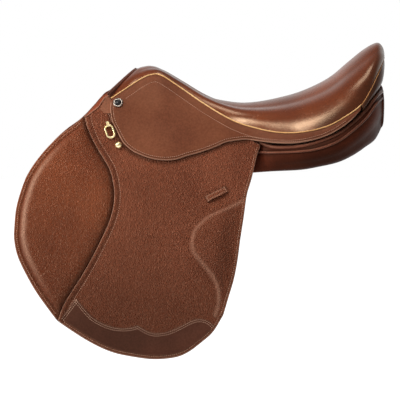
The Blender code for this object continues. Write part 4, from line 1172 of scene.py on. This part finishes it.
LEAF_FRONT = [(-197, -132), (-208, -126), (-216, -117), (-223, -108), (-230, -100), (-236, -92)]
LEAF_BACK = [(-233, -90), (-224, -98), (-214, -106), (-209, -114), (-203, -122), (-194, -127)]
LET_IN = [(-199, -125), (-193, -119), (-190, -108), (-190, -96), (-205, -96), (-212, -104), (-207, -114)]
LEAF_HEIGHT = 0.0013
LET_IN_HEIGHT = 0.0005
LEAF_BACK_PALE = (0.0008, 0.0022)
LEAF_DARK = (0.0008, 0.0026)
LEAF_STITCH = 0.003

leaf_front, leaf_back = drawn(LEAF_FRONT, 5), drawn(LEAF_BACK, 5)
leaf_outline = outline_of(leaf_front + leaf_back, 2, 0.0012)
let_in_outline = outline_of(metres(LET_IN), 4, 0.0015)
from_leaf_front = reach_of(leaf_front)
from_leaf_back = reach_of(leaf_back)


# The leaf is paler along its back edge and darker along its front edge.
def leaf_marks(x, down, e):
    return 0.75 * fade(from_leaf_back(x, down), *LEAF_BACK_PALE), fade(from_leaf_front(x, down), *LEAF_DARK)


russet_calf = hide("russet_calf", dyed(158, 70, 42), dyed(126, 52, 31), 0.4)
light_calf = hide("light_calf", dyed(148, 92, 68), dyed(120, 72, 52), 0.45)
for side, word in SIDES:
    for name, outline, height, made_of, marks in (
            ("head_leaf_", leaf_outline, LEAF_HEIGHT, russet_calf, leaf_marks),
            ("head_inlay_", let_in_outline, LET_IN_HEIGHT, light_calf, None)):
        piece = cut_leather(name + word, side, outline,
                            lambda x, down, e: plain_face(x, down) + height - edge_drop(e, height * 0.6),
                            on_face, (made_of, cut_edge), rings=(0.0003, 0.0006), pitch=0.0025, marks=marks)
        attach(piece, "saddle")
    piece = sewn("head_stitches_" + word, side, flap_face, beside(metres(LEAF_BACK[:3]), LEAF_STITCH))
    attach(piece, "saddle")

# The skirts: smooth hide sewn in under the welt, which lies over the stirrup bar. The front part hangs free below
# a fold as a rounded lobe, and the rear part narrows to a band that follows the welt to the cantle.

SKIRT_FOLD = [(-195, -101), (24, -54)]
BAND_EDGE = [(33, 98, 54), (75, 119, 50), (114, 133, 52), (156, 138, 64), (189, 134, 84), (210, 125, 105)]
SKIRT_OUT = 0.0188
SKIRT_THICKNESS = 0.0035
SKIRT_SWELL = 0.066
SKIRT_STITCH = 0.0145
SKIRT_STITCH_ENDS = (-0.172, 0.19)
SKIRT_EDGE_STITCH = 0.0046
SKIRT_CREASE = 0.0028
SKIRT_CREASE_DEPTH = 0.0005
SKIRT_ROUND = 0.0013
SKIRT_ROW_CLEAR = 0.0065
SKIRT_SEWN = (0.004, 0.009)
SKIRT_WORN = (0.0007, 0.0015)
FOLD_EASE = 0.004
LAST_WELT = 13
WELT_STEPS = 8


def on_side(x, y, z):
    """A point as x, how far down the side plane and how far out from it."""
    sine, cosine = math.sin(SIDE_FLARE), math.cos(SIDE_FLARE)
    return x, -z * cosine + (abs(y) - SIDE_HALF) * sine, (abs(y) - SIDE_HALF) * cosine + z * sine


def welt_point(u):
    """A point of the seat's edge, at any place between its stations."""
    _, _, x, y, z, _ = seat_station(u)
    return x, y, z


def at_x(line, x):
    """How far down and out a line of (x, down, out) is at this x."""
    for (x0, d0, o0), (x1, d1, o1) in zip(line, line[1:]):
        if x <= x1:
            t = (x - x0) / (x1 - x0)
            return d0 + (d1 - d0) * t, o0 + (o1 - o0) * t
    return line[-1][1:]


welt_side = [on_side(*welt_point(i / WELT_STEPS)) for i in range(WELT_STEPS * LAST_WELT + 1)]
landing = [(x * 0.001, down * 0.001, SKIRT_OUT) for x, down in SKIRT_FOLD]
landing += [on_side(x * 0.001, y * 0.001, z * 0.001) for x, y, z in smooth_run(BAND_EDGE, 6)]
band_edge = [(x, down) for x, down, _ in landing[2:]]
welt_line = [(x, down) for x, down, _ in welt_side]
skirt_outline = outline_of(welt_line + band_edge[::-1] + skirt_edge, 2)
from_welt = reach_of(welt_line)


def skirt_height(x, down):
    """How far out the skirt stands: from the welt it swells over the stirrup bar and lands on the flap."""
    top, top_out = at_x(welt_side, x)
    foot, foot_out = at_x(landing, x)
    share = (down - top) / max(0.004, foot - top)
    if share >= 1:
        return foot_out + wave(x, down)
    share = max(0.0, share)
    swell = SKIRT_SWELL * (foot - top) * 4 * share * (1 - share)
    return top_out + (foot_out - top_out) * share + swell + wave(x, down) * share


def skirt_smooth(x, down):
    """The skirt's height, eased over its fold."""
    around = ((0, 0), (0, FOLD_EASE), (0, -FOLD_EASE), (FOLD_EASE, 0), (-FOLD_EASE, 0))
    return sum(skirt_height(x + a, down + b) for a, b in around) / len(around)


def skirt_face(x, down, e):
    free = soft_step(from_welt(x, down), *SKIRT_SEWN)
    crease_and_shade = edge_crease(e, SKIRT_CREASE, SKIRT_CREASE_DEPTH) * free
    return skirt_smooth(x, down) - edge_drop(e, SKIRT_ROUND) - crease_and_shade


# The skirt's free edge is paler where it wears; the groove beside it gets painted shade.
def skirt_marks(x, down, e):
    free = soft_step(from_welt(x, down), *SKIRT_SEWN)
    crease_and_shade = 0.7 * edge_crease(e, SKIRT_CREASE, 1, 0.0010) * free
    return 0.9 * fade(e, *SKIRT_WORN) * free, crease_and_shade


def bend_skirt(piece):
    """Bakes a piece's place into its mesh."""
    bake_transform(piece)


skirt_hide = hide("skirt_hide", dyed(124, 70, 47), dyed(102, 53, 35), 0.44, cell=0.0016, pebble=0.15)
upper_line = beside(welt_line, -SKIRT_STITCH)
upper_stitches = [(x, down) for x, down in upper_line
                  if SKIRT_STITCH_ENDS[0] < x < SKIRT_STITCH_ENDS[1] and down < at_x(landing, x)[0] - 0.001]
lower_line = inset(anticlockwise(skirt_outline), SKIRT_EDGE_STITCH)
lower_stitches = from_gap([p for p in lower_line if from_welt(*p) > SKIRT_ROW_CLEAR])
for side, word in SIDES:
    skirt = cut_leather("skirt_hide_" + word, side, skirt_outline, skirt_face,
                        lambda x, down, e: skirt_smooth(x, down) - SKIRT_THICKNESS, (skirt_hide, cut_edge),
                        lines=(0.0022, 0.0030, 0.0038, 0.0050), marks=skirt_marks)
    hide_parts("skirt_band_" + word, "skirt_" + word)
    bend_skirt(skirt)
    piece = sewn("skirt_stitches_" + word, side, skirt_face, upper_stitches, lower_stitches)
    bend_skirt(piece)

# The pommel: its front edge is bound with a double roll of dark calf that stands above the seat, over a facing
# that closes the arch below it.

BINDING_TOP = (-0.1568, 0.1668)
BINDING_FOOT = (-0.2008, 0.1277)
BINDING_SPREAD = 0.0745
BINDING_ROLLS = ((0.0014, 0.0016), (0.0043, 0.0015))
BINDING_STEPS = 24
BINDING_LEANS_TO = (0.1, 0.97)
FACING_AT = 0.0028
FACING_DROP = 0.012
FACING_LEAN = (0.0022, 0.002)
FACING_THICKNESS = Vector((0.0024, 0, 0))
FACING_PUFF = 0.3
FACING_STEPS = 6

binding_calf = hide("binding_calf", dyed(118, 72, 58), dyed(88, 52, 42), 0.36)
rolls = [[], []]
facing_rows = []
for i in range(2 * BINDING_STEPS + 1):
    t = math.sin((i / BINDING_STEPS - 1) * math.pi / 2)
    share = abs(t) ** NOSE_SWEEP
    x, z = [top + (low - top) * share for top, low in zip(BINDING_TOP, BINDING_FOOT)]
    outer = Vector((x, t * BINDING_SPREAD, z))
    inwards = (seat_surface(BINDING_LEANS_TO[0], t * BINDING_LEANS_TO[1]) - outer).normalized()
    for line, (far, _) in zip(rolls, BINDING_ROLLS):
        line.append(outer + inwards * far)
    head = outer + inwards * FACING_AT
    foot = head + Vector((FACING_LEAN[0], -t * FACING_LEAN[1], -FACING_DROP))
    front_side = []
    for k in range(FACING_STEPS + 1):
        puff = FACING_THICKNESS * FACING_PUFF * math.sin(math.pi * k / FACING_STEPS)
        front_side.append(head.lerp(foot, k / FACING_STEPS) - puff)
    facing_rows.append(front_side + [point + FACING_THICKNESS for point in front_side[::-1]])
facing = loft("pommel_arch_facing", facing_rows, binding_calf)
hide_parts("pommel_facing")
pommel_pieces = [facing]
for i, (line, (_, radius)) in enumerate(zip(rolls, BINDING_ROLLS)):
    pommel_pieces.append(rope("pommel_roll_" + str(i + 1), line, radius, binding_calf))
for piece in pommel_pieces:
    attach(piece, "saddle")

# The cantle: a facing of calf, glazed hard so that it sheds rain, closes the seat's back. It is sewn into the
# cantle welt above and tacked to the tree above the panels.

FACING_FOOT = [(213, 120, 103), (225, 107, 118), (236, 92, 131), (245, 66, 142), (248, 16, 147)]
FACING_SWELL = 0.0032
FACING_SWELL_SPREAD = 0.7
FACING_WALL = 0.0024
FACING_FOOT_STEPS = 6
CANTLE_STEPS = 10

glazed_calf = hide("glazed_calf", dyed(84, 50, 36), dyed(56, 33, 24), 0.3, shine=0.15)
foot_line = smooth_run([tuple(v * 0.001 for v in point) for point in FACING_FOOT], FACING_FOOT_STEPS)
head_line = [welt_point(LAST_WELT + i / FACING_FOOT_STEPS) for i in range(len(foot_line))]


def round_the_back(line):
    """A near side's line, then the same on the off side back to where it began."""
    return [Vector((x, -y, z)) for x, y, z in line] + [Vector((x, y, z)) for x, y, z in line[::-1]]


heads, feet = round_the_back(head_line), round_the_back(foot_line)
facing_rows = []
for i, (head, foot) in enumerate(zip(heads, feet)):
    along = heads[min(i + 1, len(heads) - 1)] - heads[max(i - 1, 0)]
    out = along.cross(foot - head).normalized()
    if out.x < 0:
        out = -out
    outer = []
    for k in range(CANTLE_STEPS + 1):
        swell = math.sin(math.pi * k / CANTLE_STEPS) ** FACING_SWELL_SPREAD
        outer.append(head.lerp(foot, k / CANTLE_STEPS) + out * FACING_SWELL * swell)
    facing_rows.append(outer + [point - out * FACING_WALL for point in outer[::-1]])
facing = loft("cantle_glazed_facing", facing_rows, glazed_calf)
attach(facing, "saddle")
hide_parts("cantle_facing")

# The welts: piping of tan calf folded over a cord, sewn into the joints between the seat and the skirts. A
# thinner one, of darker tan calf, runs on round the cantle between the seat and its facing.

WELT_RADIUS = 0.00105
WELT_OUT = 0.0009
CANTLE_WELT_RADIUS = 0.0009
CANTLE_WELT_OUT = (0.0008, 0.0006)

tan_calf = hide("tan_calf", dyed(242, 196, 138), dyed(214, 162, 104), 0.4, pores=0.05)
for side, word in SIDES:
    outwards = side_point(side, 0, 0, 1) - side_point(side, 0, 0, 0)
    line = []
    for i in range(WELT_STEPS * LAST_WELT + 1):
        x, y, z = welt_point(i / WELT_STEPS)
        line.append(Vector((x, side * y, z)) + outwards * WELT_OUT)
    welt = rope("welt_piping_" + word, line, WELT_RADIUS, tan_calf)
    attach(welt, "saddle")
    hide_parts("welt_" + word)
run = [welt_point(LAST_WELT + i / WELT_STEPS) for i in range(WELT_STEPS * (LAST_STATION - LAST_WELT) + 1)]
line = round_the_back([(x + CANTLE_WELT_OUT[0], y + CANTLE_WELT_OUT[1], z) for x, y, z in run])
darker_tan_calf = hide("darker_tan_calf", dyed(188, 132, 84), dyed(146, 98, 60), 0.4, pores=0.05)
welt = rope("cantle_piping", line, CANTLE_WELT_RADIUS, darker_tan_calf)
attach(welt, "saddle")
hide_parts("cantle_welt")

# The brass: a cast ring for a breastplate's strap, which swings in a hanger folded from sheet, and a domed stud
# turned from bar and driven through the flap into the tree's point. All are polished.

RING_SIZE = (0.0158, 0.0245)
RING_WIRE = 0.0036
RING_CORNER = 0.0058
RING_AT = (-0.1953, -0.0647)
RING_TILT = math.radians(20)
RING_OUT = 0.0186
RING_CORNER_STEPS = 8
STUD_AT = (-0.1813, -0.0423)
STUD_OUT = 0.0153
STUD_PROFILE = [(0.0056, 0.0), (0.0060, 0.0008), (0.0059, 0.0022), (0.0053, 0.0040), (0.0042, 0.0055),
                (0.0026, 0.0064), (0.0010, 0.0067)]


def polished(name, light, deep, gloss):
    """Polished metal with fine handling marks."""
    made = finish(name, Metallic=1.0)
    marks = speckle(made, place_on(made), 160.0, 4.0)
    surface(made, graded(made, marks, *MID_NOISE), light, deep, marks, 0.05,
            Roughness=graded(made, marks, *MOST_NOISE, gloss, gloss + 0.12))
    return made


def side_frame(side, x, down, out, tilt=0.0):
    """A frame on the side plane: its X runs back, its Y up the slope and its Z outwards. The off side mirrors
    it."""
    place = side_point(side, x, down, out)
    outwards = (side_point(side, x, down, out + 1) - place).normalized()
    up = (side_point(side, x, down - 1, out) - place).normalized()
    along = Vector((1, 0, 0)) * math.cos(tilt) + up * math.sin(tilt)
    up = up * math.cos(tilt) - Vector((1, 0, 0)) * math.sin(tilt)
    turn = Matrix((along, up, outwards)).transposed().to_4x4()
    return Matrix.Translation(place) @ turn


def turned(name, profile, frame_at, material):
    """A round piece raised ring by ring from a disc. The profile gives each ring's radius and height."""
    bpy.ops.object.select_all(action="DESELECT")
    bpy.ops.mesh.primitive_circle_add(vertices=36, radius=profile[0][0], fill_type="NGON")
    piece = bpy.context.object
    piece.name = name
    bpy.ops.object.mode_set(mode="EDIT")
    bpy.ops.mesh.select_mode(type="FACE")
    bpy.ops.mesh.select_all(action="SELECT")
    for (r0, z0), (r1, z1) in zip(profile, profile[1:]):
        bpy.ops.mesh.extrude_region_move(TRANSFORM_OT_translate={"value": (0, 0, z1 - z0)})
        bpy.ops.transform.resize(value=(r1 / r0, r1 / r0, 1))
    bpy.ops.mesh.select_all(action="SELECT")
    bpy.ops.mesh.fill_holes(sides=0)
    bpy.ops.mesh.normals_make_consistent(inside=False)
    bpy.ops.object.mode_set(mode="OBJECT")
    bpy.ops.object.shade_smooth_by_angle(angle=math.radians(50))
    piece.data.transform(frame_at)
    if frame_at.determinant() < 0:
        piece.data.flip_normals()
    dress(piece, material)
    return piece


brass = polished("brass", dyed(250, 232, 184), dyed(230, 204, 144), 0.27)
for side, word in SIDES:
    dress(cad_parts["ring_hanger_" + word], brass)
    at = side_frame(side, *RING_AT, RING_OUT, RING_TILT)
    half_x, half_y = RING_SIZE[0] / 2 - RING_WIRE / 2, RING_SIZE[1] / 2 - RING_WIRE / 2
    line = []
    for a, b, first in ((1, 1, 0), (-1, 1, 1), (-1, -1, 2), (1, -1, 3)):
        for step in range(RING_CORNER_STEPS + 1):
            turn = (first + step / RING_CORNER_STEPS) * math.pi / 2
            line.append(at @ Vector((a * (half_x - RING_CORNER) + RING_CORNER * math.cos(turn),
                                     b * (half_y - RING_CORNER) + RING_CORNER * math.sin(turn), 0)))
    ring = rope("brass_ring_" + word, line, RING_WIRE / 2, brass, closed=True)
    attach(ring, "ring_" + word)
    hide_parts("ring_" + word)
    stud = turned("brass_stud_" + word, STUD_PROFILE, side_frame(side, *STUD_AT, STUD_OUT), brass)
    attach(stud, "saddle")
    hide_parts("point_stud_" + word)

# The head nails: a collar of nickel round a dome of black enamel, both raised from sheet over one steel nail. It
# is driven through the skirt into the tree's head.

NAIL_RADIUS = 0.008
NAIL_PROUD = 0.0006
NAIL_SLOPE_STEP = 0.004
# Each profile is (share of the radius, height) from the skirt outwards.
COLLAR_PROFILE = [(0.96, 0.0), (1, 0.0005), (0.99, 0.0013), (0.95, 0.0020), (0.89, 0.0022), (0.83, 0.0018),
                  (0.80, 0.0012)]
DOME_PROFILE = [(0.79, 0.0013), (0.77, 0.0020), (0.66, 0.0030), (0.46, 0.0037), (0.24, 0.0041), (0.07, 0.0042)]

nickel = polished("nickel", dyed(176, 164, 152), dyed(126, 114, 104), 0.3)
enamel = finish("black_enamel", Roughness=0.3, Specular_IOR_Level=0.25)
place = place_on(enamel)
surface(enamel, speckle(enamel, place, 300.0), dyed(38, 34, 34), dyed(16, 14, 14),
        speckle(enamel, place, 700.0), 0.08)


def on_skirt(side, x, down):
    return side_point(side, x, down, skirt_smooth(x, down))


for side, word in SIDES:
    low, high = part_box("head_nail_" + word)
    x, down, _ = on_side(*((Vector(low) + Vector(high)) / 2))
    place = on_skirt(side, x, down)
    right = on_skirt(side, x + NAIL_SLOPE_STEP, down) - place
    up = on_skirt(side, x, down - NAIL_SLOPE_STEP) - place
    outwards = right.cross(up).normalized()
    if outwards.y * side < 0:
        outwards = -outwards
    up = (up - outwards * up.dot(outwards)).normalized()
    turn = Matrix((up.cross(outwards), up, outwards)).transposed().to_4x4()
    at = Matrix.Translation(place + outwards * NAIL_PROUD) @ turn
    collar, dome = [turned(part + word, [(NAIL_RADIUS * share, height) for share, height in profile], at, made_of)
                    for part, profile, made_of in (("nail_collar_", COLLAR_PROFILE, nickel),
                                                   ("nail_dome_", DOME_PROFILE, enamel))]
    for piece in (collar, dome):
        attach(piece, "saddle")
    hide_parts("head_nail_" + word)

# The room and the camera: a pale floor of paper well under the saddle, four soft lamps and a long lens at the
# photograph's angle. What the lens sees behind the saddle is white, and polished metal sees a dimmer room.

AIM = Vector((-0.0495, -0.00438, -0.0501))
DISTANCE = 5.0
TILT = math.radians(4)
VIEW_WIDTH = 0.66
FLOOR_AT = (0, 0, -0.46)
FLOOR_SIZE = 14
FLOOR_GLOW = 0.72
FLOOR_REACH = (0.6, 2.2)
SKY_LIGHT = 0.2
ROOM_LIGHT = 0.13
BACK_LIGHT = 0.75

bpy.ops.object.select_all(action="DESELECT")
bpy.ops.mesh.primitive_plane_add(size=FLOOR_SIZE, location=FLOOR_AT)
floor = bpy.context.object
floor.name = "studio_floor"


def larger(made, first, second):
    return coat(made, "Math", 0, {"operation": "MAXIMUM"}, **{"0": first, "1": second})


def seen_by_lens(made):
    """1 for what the lens sees, straight or in polished metal, and 0 for light on its way to the saddle."""
    share = coat(made, "LightPath", "Is Camera Ray")
    for ray in ("Is Glossy Ray", "Is Transmission Ray"):
        share = larger(made, share, coat(made, "LightPath", ray))
    return share


paper = finish("white_paper", Base_Color=(0.8, 0.8, 0.8, 1), Roughness=0.9, Emission_Color=(1, 1, 1, 1),
               Specular_IOR_Level=0.0)
far = coat(paper, "VectorMath", "Value", {"operation": "LENGTH"}, **{"0": place_on(paper)})
glow = graded(paper, far, *FLOOR_REACH, FLOOR_GLOW, 1)
on_shader(paper, Emission_Strength=product(paper, seen_by_lens(paper), glow))
dress(floor, paper)
floor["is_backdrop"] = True

world = bpy.data.worlds.new("studio")
world.use_nodes = True
bpy.context.scene.world = world
sky = world.node_tree.nodes["Background"]
sky.inputs["Color"].default_value = (1, 1, 1, 1)
place = coat(world, "TexCoord", "Generated")
behind = graded(world, coat(world, "SeparateXYZ", "Y", Vector=place), -0.1, 0.5)
low = graded(world, coat(world, "SeparateXYZ", "Z", Vector=place), 0.35, 0.85, 1, 0)
backdrop = graded(world, product(world, behind, low), 0, 1, ROOM_LIGHT, BACK_LIGHT)
shown = larger(world, backdrop, coat(world, "LightPath", "Is Camera Ray"))
level = product(world, seen_by_lens(world), shown)
put_values(sky, world, {"Strength": larger(world, level, SKY_LIGHT)})


def lamp(name, place, aim, size, watts):
    """A round softbox that points from its place at its aim."""
    light = bpy.data.lights.new(name, "AREA")
    light.shape = "DISK"
    light.size = size
    light.energy = watts
    made = bpy.data.objects.new(name, light)
    bpy.context.scene.collection.objects.link(made)
    made.location = place
    made.rotation_euler = (Vector(aim) - Vector(place)).to_track_quat("-Z", "Y").to_euler()


lamp("key_softbox", (-0.8, -1.4, 1.6), (0, 0, 0), 0.65, 21)
lamp("left_softbox", (-2.3, -1.0, 0.8), (-0.1, 0, -0.1), 1.0, 38)
lamp("overhead_softbox", (0.1, -0.3, 2.1), (0, 0, 0), 0.9, 11)
lamp("front_softbox", (0.5, -3.2, -0.2), (0, 0, 0), 0.9, 5)

lens = bpy.data.cameras.new("photograph")
lens.lens_unit = "FOV"
lens.angle = 2 * math.atan(VIEW_WIDTH / 2 / DISTANCE)
camera = bpy.data.objects.new("photograph", lens)
bpy.context.scene.collection.objects.link(camera)
camera.location = AIM + Vector((0, -DISTANCE * math.cos(TILT), DISTANCE * math.sin(TILT)))
camera.rotation_euler = (math.pi / 2 - TILT, 0, 0)
bpy.context.scene.camera = camera
bpy.context.scene.view_settings.view_transform = "Standard"

low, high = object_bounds()
